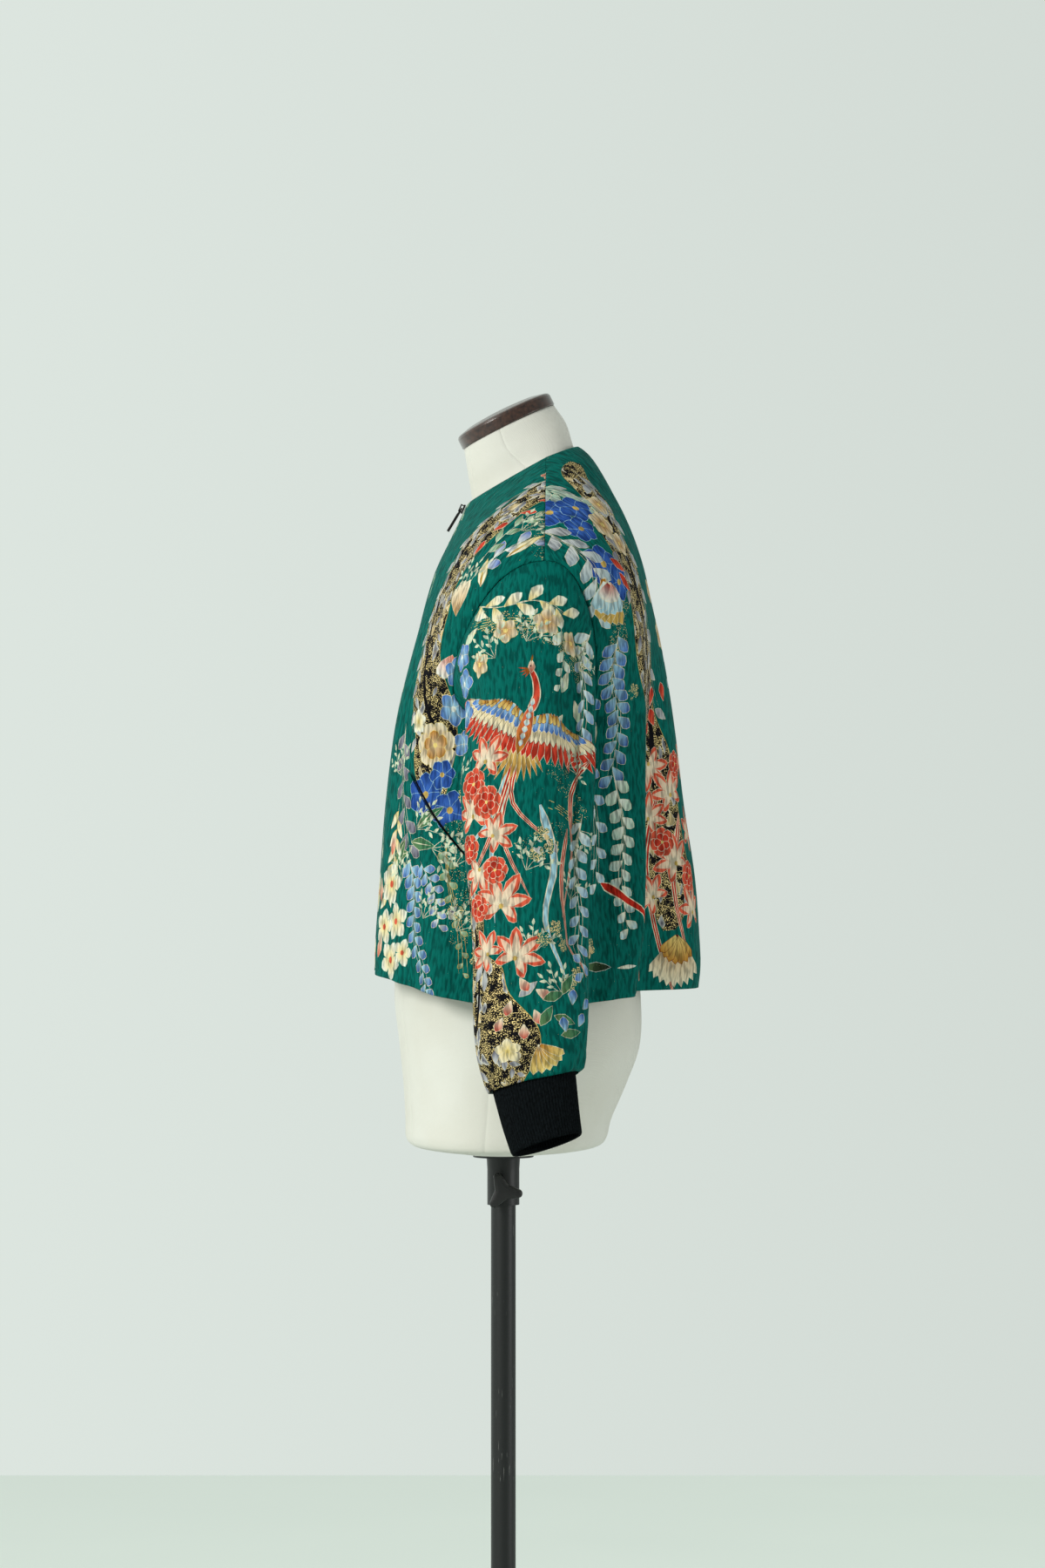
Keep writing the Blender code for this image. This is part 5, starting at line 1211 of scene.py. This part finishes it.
# %% Crepe, reverse
reverse = Finish("crepe reverse", ink(30, 84, 74), 0.75, **{"Sheen Weight": 0.1})
reverse_place = reverse.add("Attribute", output=1, attribute_name="cloth")
reverse_ink = reverse.add("Attribute", attribute_name="ink")
reverse.set(reverse.shader, {
    "Base Color": reverse.mix(0.72, reverse_ink, (*ink(38, 86, 76), 1)),
    "Normal": crepe_crinkle(reverse, reverse_place)[0],
})

# %% Knit, canvas, wood, metal
knit = Finish("rib knit", ink(22, 24, 28), 0.9, **{"Specular IOR Level": 0.05})
knit_place = knit.own_place()
stitches = knit.noise(knit.stretched(knit_place, (700, 700, 420)), 1.0, 2.0)
knit.set(knit.shader, {
    "Base Color": knit.mix(knit.between(stitches, 0.35, 0.7), (*ink(4, 7, 8), 1), (*ink(19, 24, 27), 1)),
    "Normal": knit.bump(stitches, 0.0004, 0.7),
})

canvas = Finish("ivory canvas", ink(226, 222, 208), 0.9, **{"Sheen Weight": 0.15})
canvas_place = canvas.own_place()
weft = canvas.add("TexWave", {"Vector": canvas_place, "Scale": 320, "Distortion": 0.6}, 1,
                  bands_direction="Z")
warp = canvas.add("TexWave", {"Vector": canvas_place, "Scale": 320, "Distortion": 0.6}, 1,
                  bands_direction="DIAGONAL")
slubs = canvas.noise(canvas.stretched(canvas_place, (400, 400, 2600)), 1.0, 3.0)
soiling = canvas.between(canvas.noise(canvas_place, 9, 4.0), 0.35, 0.7)
canvas_colour = canvas.mix(soiling, (*ink(230, 229, 221), 1), (*ink(221, 218, 207), 1))
canvas.set(canvas.shader, {
    "Base Color": canvas.mix(0.30, canvas_colour, canvas.mix(slubs, (0.82, 0.81, 0.78, 1), (1, 1, 1, 1)),
                             "MULTIPLY"),
    "Normal": canvas.bump(canvas.times(weft, warp), 0.0003, 0.5),
})

walnut = Finish("dark walnut", ink(52, 32, 26), 0.30, **{"Coat Weight": 0.6, "Coat Roughness": 0.14})
walnut_place = walnut.own_place()
grain = walnut.noise(walnut.stretched(walnut_place, (26, 260, 260)), 1.0, 5.0, 0.6)
pores = walnut.noise(walnut.stretched(walnut_place, (120, 1600, 1600)), 1.0, 2.0)
walnut.set(walnut.shader, {
    "Base Color": walnut.mix(walnut.between(grain, 0.32, 0.68), (*ink(34, 20, 17), 1), (*ink(78, 50, 39), 1)),
    "Normal": walnut.bump(pores, 0.00015, 0.35),
})


def coated(name, colour, roughness, scratches=0.0, metallic=0.0):
    """Paint or coating on metal, a little uneven, with short scratches along it."""
    finish = Finish(name, colour, roughness, Metallic=metallic)
    place = finish.own_place()
    skin = finish.noise(place, 1400, 2.0)
    wear = finish.noise(finish.stretched(place, (950, 950, 42)), 1.0, 3.0)
    patches = finish.between(finish.noise(place, 22, 2.0), 0.52, 0.62)
    marks = finish.times(finish.times(finish.between(wear, 0.66, 0.72), patches), scratches)
    finish.set(finish.shader, {
        "Base Color": finish.mix(marks, (*colour, 1), (0.30, 0.30, 0.29, 1)),
        "Roughness": finish.add("MapRange", {"Value": skin, "To Min": roughness - 0.06,
                                             "To Max": roughness + 0.08}),
        "Normal": finish.bump(skin, 0.00012, 0.35),
    })
    return finish


steel = coated("black powder-coated steel", ink(13, 16, 17), 0.42, 0.8)
moulding = coated("black moulding", ink(20, 20, 21), 0.46)
black_metal = coated("blackened zip metal", ink(44, 43, 42), 0.36, 0.5, 0.75)
tape = Finish("zip tape", ink(18, 22, 22), 0.85)
tape_place = tape.own_place()
tape_weave = tape.add("TexWave", {"Vector": tape_place, "Scale": 330, "Distortion": 1.0}, 1,
                      bands_direction="DIAGONAL")
tape.set(tape.shader, {
    "Base Color": tape.mix(tape_weave, (*ink(12, 15, 15), 1), (*ink(32, 37, 37), 1)),
    "Normal": tape.bump(tape_weave, 0.0002, 0.5),
})
print("finishes:", len(bpy.data.materials))

# %% [markdown]
# ## The jacket's crepe pieces
# Two fronts, one back and two sleeves, as they are cut and sewn. The right ones are
# mirror images. The pocket's welt is a strip of the same print, cut from the front's own
# pattern so that the flowers run on across it.

# %% Fronts, back, sleeves
def printed_piece(name, side, printed):
    piece = cloth_piece(name + "_cloth", side, *printed)
    put_on(piece, name, (crepe.material, reverse.material))


SIDES = ((1, "left"), (-1, "right"))
for side, name in SIDES:
    printed_piece("front_" + name, side, front_print)
    printed_piece("sleeve_" + name, side, sleeve_print)
printed_piece("back", 1, back_print)


# %% Pocket welts
WELT_OUT, WELT_LIP, WELT_SUNK = 0.0018, 0.0022, 0.0006
LIP_REACH, SUNK_REACH = 0.6, 0.12
WELT_STEPS = 40
steps = np.linspace(0, 1, WELT_STEPS)
border = np.concatenate([
    np.stack(line, 1)[:-1] for line in ((steps, 0 * steps), (1 + 0 * steps, steps),
                                        (1 - steps, 1 + 0 * steps), (0 * steps, 1 - steps))])
welt_outline = front_panel.flat_places(*welt_places(*border.T)) / CM
welt_flat, welt_triangles, welt_top = ink_mesh(welt_outline, print_front())
welt_around, welt_levels = front_panel.worn_places(welt_flat * CM)
corners = [k * (WELT_STEPS - 1) for k in range(4)]
slit_edge, short_edge, sewn_edge = (welt_outline[a : b + 1] for a, b in zip(corners, corners[1:]))
slit_gap = reach_to(welt_flat, slit_edge)
sewn_gap = np.minimum(reach_to(welt_flat, sewn_edge), reach_to(welt_flat, short_edge))
lift = WELT_OUT + WELT_LIP * hump(slit_gap, LIP_REACH) - WELT_SUNK * hump(sewn_gap, SUNK_REACH)
welt_worn = body_points(welt_around, welt_levels) + body_normals(welt_around, welt_levels) * lift[:, None]
welt_inks = corner_inks(welt_flat, welt_triangles, welt_top, print_front())
for side, name in SIDES:
    welt = cloth_piece("pocket_welt_%s_cloth" % name, side, welt_worn, welt_flat, welt_triangles, welt_inks)
    put_on(welt, "pocket_welt_" + name, (crepe.material, reverse.material))

# %% [markdown]
# ## Cuffs and zip
# The cuffs are rib knit: rounded ribs that run down the tube, evenly spaced round it.
# The zip is a woven tape behind each front edge, with cast teeth that take turns between
# the left and the right tape.

# %% Grid pieces
def grid_mesh(name, grid, closed_round=False):
    """A smooth mesh on rows of points. Its outside is where left to right goes with down."""
    rows, columns = grid.shape[:2]
    steps = columns if closed_round else columns - 1
    faces = []
    for r in range(rows - 1):
        for c in range(steps):
            d = (c + 1) % columns
            faces.append((r * columns + c, (r + 1) * columns + c, (r + 1) * columns + d, r * columns + d))
    mesh = bpy.data.meshes.new(name)
    mesh.from_pydata(grid.reshape(-1, 3).tolist(), [], faces)
    mesh.shade_smooth()
    return bpy.data.objects.new(name, mesh)


def thicken(obj, name, thickness):
    wall = obj.modifiers.new(name, "SOLIDIFY")
    wall.thickness, wall.offset = thickness, -1


def mirrored(obj, name):
    """The mirror image of a piece, with its faces turned out again."""
    mesh = obj.data.copy()
    mesh.transform(Matrix.Diagonal((-1, 1, 1, 1)))
    mesh.flip_normals()
    made = bpy.data.objects.new(name, mesh)
    for modifier in obj.modifiers:
        thicken(made, modifier.name, modifier.thickness)
    return made


# %% Cuffs
RIBS, RIB_HEIGHT, CUFF_WALL = 78, 0.0010, 0.0018
CUFF_ROWS, CUFF_COLUMNS = 26, RIBS * 6
turns = np.repeat(np.linspace(0, 360, CUFF_COLUMNS + 1)[None, :-1], CUFF_ROWS, 0)
cuff_levels = np.repeat(np.linspace(0, 2, CUFF_ROWS)[:, None], CUFF_COLUMNS, 1)
rows = rows_at(CUFF, cuff_levels.ravel())
outwards = section_outwards(rows, turns.ravel())
rib = np.abs(np.cos(np.radians(RIBS / 2 * turns.ravel()))) ** 0.7
down_cuff = cuff_levels.ravel()
soft_end = hump(2 - down_cuff, 0.05) + 0.5 * hump(down_cuff, 0.08)
cuff_relief = RIB_HEIGHT * (rib - 0.35) - 0.0009 * soft_end
cuff_out = section_points(rows, turns.ravel()) + outwards * cuff_relief[:, None]
left_cuff = grid_mesh("cuff_left_knit", cuff_out.reshape(CUFF_ROWS, -1, 3)[:, ::-1], True)
thicken(left_cuff, "knit", CUFF_WALL)
for piece, name in ((left_cuff, "left"), (mirrored(left_cuff, "cuff_right_knit"), "right")):
    put_on(piece, "cuff_" + name, (knit.material,))

# %% Zip tape and teeth
TAPE_START, TAPE_HALF, TAPE, TOOTH_PITCH = 0.0011, 0.012, 0.0006, 0.0025
TOOTH = (0.0030, 0.0011, 0.0014)
ZIP_BEHIND = CLOTH + SEAM_GAP + 0.0004


def centre_angles(levels, half_width):
    row = rows_at(BODY, levels)
    return np.degrees(np.arcsin((half_width / row[:, 2]) ** (1 / row[:, 7])))


zip_levels = np.linspace(0, HEM, 240)
strips = []
for x in (TAPE_START, 0.004, 0.008, TAPE_HALF):
    angles = centre_angles(zip_levels, x)
    strips.append(body_points(angles, zip_levels) - ZIP_BEHIND * body_normals(angles, zip_levels))
tape_left = grid_mesh("zip_tape_left", np.stack(strips, 1))
thicken(tape_left, "tape", TAPE)
tape_right = mirrored(tape_left, "zip_tape_right")

chain = bmesh.new()
middle = body_points(0 * zip_levels, zip_levels)
run = np.concatenate([[0.0], np.cumsum(np.linalg.norm(np.diff(middle, axis=0), axis=1))])
teeth = np.arange(0.004, run[-1] - 0.003, TOOTH_PITCH / 2)
tooth_levels = np.interp(teeth, run, zip_levels)
seats = body_points(0 * tooth_levels, tooth_levels)
tooth_out = body_normals(0 * tooth_levels, tooth_levels)
for k, (seat, out) in enumerate(zip(seats, tooth_out)):
    side = 1 if k % 2 else -1
    across, out = Vector((side, 0, 0)), Vector(out)
    down = across.cross(out).normalized()
    place = Matrix((across, down, out)).transposed().to_4x4()
    centre = Vector(seat) + across * 0.0008 - out * 0.0005
    made = bmesh.ops.create_cube(chain, size=1, matrix=Matrix.Translation(centre) @ place
                                 @ Matrix.Diagonal((*TOOTH, 1)))
    for vertex in made["verts"]:
        if (vertex.co - centre).dot(across) < 0:
            vertex.co += (centre - vertex.co).project(down) * 0.35
chain_mesh = bpy.data.meshes.new("zip_teeth")
chain.to_mesh(chain_mesh)
zip_teeth = bpy.data.objects.new("zip_teeth", chain_mesh)
for piece in (tape_left, tape_right):
    put_on(piece, "zip", (tape.material,))
put_on(zip_teeth, "zip", (black_metal.material,))
print("zip %.0f mm long, %d teeth" % (1000 * run[-1], len(teeth)))

# %% [markdown]
# ## The dress form and its stand
# The form is a hard torso covered in ivory canvas, cut in panels like a dress: seams run
# down it where they would be fitted. A turned walnut cap closes the neck. The stand's
# parts are turned on a lathe, so one profile each gives them.

# %% Dress form
NECK = [
    (-0.0395, 1.4119, 0.050, 0.0057, 1.4342, 0.0509, 1.4565, 1.0, 1.0, 1.0),
    (-0.0355, 1.3870, 0.054, 0.0150, 1.4150, 0.0635, 1.4375, 1.0, 1.0, 1.0),
    (-0.0316, 1.3570, 0.066, 0.0380, 1.3975, 0.0722, 1.4110, 1.0, 1.0, 1.0),
]
# Where the shoulders carry the jacket: level, room in front, room at the back.
SHOULDER_SEATS = [(1.0, 0.0070, 0.0050), (2.0, 0.0100, 0.0070), (3.0, 0.0130, 0.0090), (3.55, 0.0140, 0.0100)]
TORSO = [
    (-0.068, 1.252, 0.1925, 0.040, 1.317, 0.126, 1.303, 0.80, 0.80, 1.2),
    (-0.074, 1.222, 0.186, 0.039, 1.282, 0.132, 1.268, 0.82, 0.82, 1.2),
    (-0.082, 1.190, 0.174, 0.036, 1.238, 0.137, 1.228, 0.84, 0.84, 1.2),
    (-0.091, 1.156, 0.162, 0.032, 1.190, 0.138, 1.184, 0.86, 0.86, 1.2),
    (-0.096, 1.118, 0.153, 0.028, 1.140, 0.131, 1.132, 0.90, 0.90, 1.2),
    (-0.094, 1.075, 0.139, 0.023, 1.085, 0.115, 1.080, 0.94, 0.94, 1.2),
    (-0.092, 1.035, 0.130, 0.020, 1.035, 0.106, 1.035, 0.96, 0.96, 1.2),
    (-0.098, 0.985, 0.142, 0.018, 0.985, 0.113, 0.985, 0.96, 0.94, 1.2),
    (-0.106, 0.925, 0.163, 0.017, 0.925, 0.131, 0.925, 0.94, 0.92, 1.2),
    (-0.1095, 0.865, 0.172, 0.016, 0.865, 0.138, 0.865, 0.92, 0.90, 1.2),
    (-0.1045, 0.815, 0.171, 0.016, 0.815, 0.1375, 0.815, 0.92, 0.90, 1.2),
    (-0.1005, 0.775, 0.168, 0.013, 0.775, 0.1240, 0.775, 0.92, 0.92, 1.2),
    (-0.0985, 0.740, 0.166, 0.009, 0.740, 0.1090, 0.740, 0.92, 0.94, 1.2),
    (-0.0980, 0.722, 0.165, 0.007, 0.722, 0.1045, 0.722, 0.92, 0.94, 1.2),
    (-0.0920, 0.714, 0.160, 0.006, 0.714, 0.0980, 0.714, 0.92, 0.94, 1.2),
    (-0.0780, 0.711, 0.146, 0.005, 0.711, 0.0840, 0.711, 0.94, 0.94, 1.2),
]
FORM_SEAMS = (0, 22, 78, 162, 180)
SEAM_GROOVE, SEAM_GROOVE_DEG = 0.0007, 0.55
FORM_BOTTOM, BORE_RADIUS, BORE_TOP = 0.7023, 0.0135, 1.260


def shoulder_row(level, front_clear, back_clear):
    """A row of the form just inside the jacket, so that its shoulders carry it."""
    row = rows_at(BODY, [level])[0]
    ridge = body_points([90.0], [level])[0]
    return (row[0] + CLOTH + front_clear, row[1] - front_clear / 2, ridge[0] - CLOTH - 0.0006, ridge[1],
            ridge[2] - CLOTH - 0.0006, row[5] - CLOTH - back_clear, row[6] - back_clear / 2, *row[7:9], 1.12)


form_table = NECK + [shoulder_row(*seat) for seat in SHOULDER_SEATS] + TORSO
form_levels = np.linspace(0, len(form_table) - 1, 190)
form_angles = np.sort(np.concatenate([np.linspace(0, 360, 181)[:-1]]
                                     + [(seam * sign + np.array([-0.4, 0.4])) % 360 for seam in FORM_SEAMS
                                        for sign in (-1, 1) if seam % 180 or sign > 0]))
levels, angles = np.repeat(form_levels, len(form_angles)), np.tile(form_angles, len(form_levels))
form_grid = ring_points(rows_at(form_table, levels), angles)
gap = np.min([np.abs(turn_between(angles, sign * seam)) for seam in FORM_SEAMS for sign in (-1, 1)], axis=0)
flat_outwards = np.stack([np.sin(np.radians(angles)), -np.cos(np.radians(angles)), 0 * angles], 1)
form_grid = form_grid - flat_outwards * (SEAM_GROOVE * hump(gap, SEAM_GROOVE_DEG))[:, None]
form_grid = form_grid.reshape(len(form_levels), -1, 3)
ring_turns = np.radians(form_angles)
under = [[(r * sin(a), -r * cos(a), h) for a in ring_turns]
         for r, h in ((0.0345, FORM_BOTTOM), (BORE_RADIUS, FORM_BOTTOM), (BORE_RADIUS, BORE_TOP),
                      (0.0001, BORE_TOP))]
top = form_grid[0].mean(0) + (form_grid[0] - form_grid[0].mean(0)) * 0.02
form_grid = np.concatenate([[top], form_grid, np.array(under)])
dress_form = grid_mesh("dress_form_canvas", form_grid, True)
put_on(dress_form, "dress_form", (canvas.material,))
print("form: %d x %d points" % form_grid.shape[:2])


# %% Turned pieces
def turned(name, profile, steps=96, place=Matrix.Identity(4), finish=None, node=None, slot=None,
           softness=0.0004):
    """A lathe piece from (radius, height) points. A ring's profile ends where it starts."""
    closed = profile[0] == profile[-1]
    points = []
    corners = profile[:-1] if closed else profile
    for k, point in enumerate(corners):
        before, after = corners[k - 1], corners[(k + 1) % len(corners)]
        if not closed and k in (0, len(corners) - 1):
            points.append(point)
            continue
        for other, share in ((before, 1.0), (before, 0.35), (after, 0.35), (after, 1.0)):
            reach = hypot(other[0] - point[0], other[1] - point[1])
            step = min(softness * share, reach * 0.45 * share) / max(reach, 1e-9)
            points.append(tuple(a + (b - a) * step for a, b in zip(point, other)))
    if closed:
        points.append(points[0])
    turn = np.linspace(0, tau, steps + 1)[:-1]
    grid = np.array([[(r * cos(a), r * sin(a), h) for a in turn] for r, h in points])
    obj = grid_mesh(name, grid[::-1] if points[0][1] < points[-1][1] else grid, True)
    obj.data.transform(place)
    put_on(obj, node, (finish.material,))
    obj.data.set_sharp_from_angle(angle=radians(50))
    return obj


CAP_TILT, CAP_CENTRE = radians(26.3), (0, 0.0057, 1.4342)
CAP_PROFILE = [(0.0001, 0.0003), (0.0505, 0.0003), (0.0515, 0.0013), (0.0515, 0.0110), (0.0506, 0.0131),
               (0.0485, 0.0143), (0.0371, 0.0172), (0.0206, 0.0187), (0.0052, 0.0190), (0.0001, 0.0190)]
cap_place = Matrix.Translation(CAP_CENTRE) @ Matrix.Rotation(CAP_TILT, 4, "X")
turned("neck_cap_walnut", CAP_PROFILE, 128, cap_place, walnut, "neck_cap", "walnut")
turned("pole_tube", [(0.0102, 0.0083), (0.0125, 0.0083), (0.0125, 1.030), (0.0102, 1.030), (0.0102, 0.0083)],
       96, finish=steel, node="pole", slot="steel")
turned("foot_socket_steel", [(0.026, 0.0083), (0.026, 0.0143), (0.019, 0.0223), (0.019, 0.0533),
                             (0.0128, 0.0533), (0.0128, 0.0083), (0.026, 0.0083)], finish=steel,
       node="foot_socket", slot="steel")
turned("base_plate_steel", [(0.0001, 0), (0.180, 0), (0.180, 0.006), (0.178, 0.008), (0.0001, 0.008)], 160,
       finish=steel, node="base_plate", slot="steel", softness=0.0008)
turned("clamp_collar_steel", [(0.0305, 0.7020), (0.0305, 0.7000), (0.0169, 0.7000), (0.0162, 0.6880),
                              (0.0162, 0.652), (0.0128, 0.652), (0.0128, 0.7020), (0.0305, 0.7020)],
       finish=steel, node="clamp_collar", slot="steel")
SCREW_HEIGHT = 0.6673
along_x = Matrix.Translation((0, 0, SCREW_HEIGHT)) @ Matrix.Rotation(pi / 2, 4, "Y")
turned("clamp_collar_boss", [(0.0043, 0.0235), (0.0085, 0.0235), (0.0085, 0.0145), (0.0043, 0.0145),
                             (0.0043, 0.0235)], 64, along_x, steel, "clamp_collar", "steel")
turned("clamp_screw", [(0.0001, 0.0130), (0.0040, 0.0130), (0.0040, 0.0250), (0.0001, 0.0250)], 48, along_x,
       black_metal, "clamp_knob", "black_metal", 0.0003)

# %% Clamp knob
KNOB_ARM, KNOB_ARM_HALF, KNOB_TURN = 0.0195, 0.0042, radians(112)
outline = []
for arm in range(3):
    middle = KNOB_TURN + arm * tau / 3
    for i in range(17):
        bend = pi * i / 16 - pi / 2
        reach = KNOB_ARM - KNOB_ARM_HALF + KNOB_ARM_HALF * cos(bend)
        outline.append((middle, reach, KNOB_ARM_HALF * sin(bend)))
    for share in np.linspace(0.16, 0.84, 11):
        outline.append((middle + tau / 3 * share, 0.0085 + 0.051 * (share - 0.5) ** 2, 0.0))
base = Vector((0.0238, 0, SCREW_HEIGHT))
knob_rings = []
for depth, scale in ((0.0, 0.02), (0.0, 0.93), (0.0004, 0.97), (0.0012, 1.0), (0.0082, 1.0), (0.0097, 0.975),
                     (0.0106, 0.93), (0.0110, 0.86), (0.0111, 0.40), (0.0111, 0.02)):
    knob_rings.append([(base.x + depth, scale * (reach * cos(turn) - side * sin(turn)),
                        base.z + scale * (reach * sin(turn) + side * cos(turn)))
                       for turn, reach, side in outline])
knob = grid_mesh("clamp_knob_moulding", np.array(knob_rings)[:, ::-1], True)
put_on(knob, "clamp_knob", (moulding.material,))

# %% [markdown]
# ## Floor and what is left
# The slider and its pull tab keep their measured shapes and get the zip's dark metal. The
# floor is a wide pale sheet. Far from the stand it glows faintly in the room's colour,
# so that the strip in the picture is as pale as the wall behind it. The size of the whole
# is printed, next to the size of the measured solids.

# %% Slider, pull tab, floor and size
for name in ("zip_slider", "zip_pull_tab"):
    node = frame["nodes"][name]
    node.data.materials.clear()
    node.data.materials.append(black_metal.material)

FLOOR, GLOW = 3.0, 0.31
corners = [(FLOOR * x, FLOOR * y, 0) for x, y in ((-1, -1), (1, -1), (1, 1), (-1, 1))]
floor_mesh = bpy.data.meshes.new("floor")
floor_mesh.from_pydata(corners, [], [(0, 1, 2, 3)])
floor = bpy.data.objects.new("floor", floor_mesh)
floor.location.z = -0.0005
paint = Finish("pale floor", ROOM_COLOUR, 0.85, **{"Emission Color": (*ROOM_COLOUR, 1)})
paint_place = paint.own_place()
paint_x = paint.add("SeparateXYZ", {"Vector": paint_place})
paint.set(paint.shader, {
    "Emission Strength": paint.add("MapRange", {"Value": paint_x, "From Min": -0.2, "From Max": -1.5,
                                                "To Max": GLOW}),
    "Base Color": paint.mix(paint.noise(paint_place, 1.5, 2.0), (0.60, 0.665, 0.61, 1),
                            (0.66, 0.72, 0.665, 1)),
})
floor_mesh.materials.append(paint.material)
bpy.context.scene.collection.objects.link(floor)
floor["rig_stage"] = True

visual_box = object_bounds()
for name, (low, high) in (("solids", cad_box), ("dressed", visual_box)):
    print("%-8s %s mm" % (name, " x ".join("%.1f" % (1000 * (b - a)) for a, b in zip(low, high))))
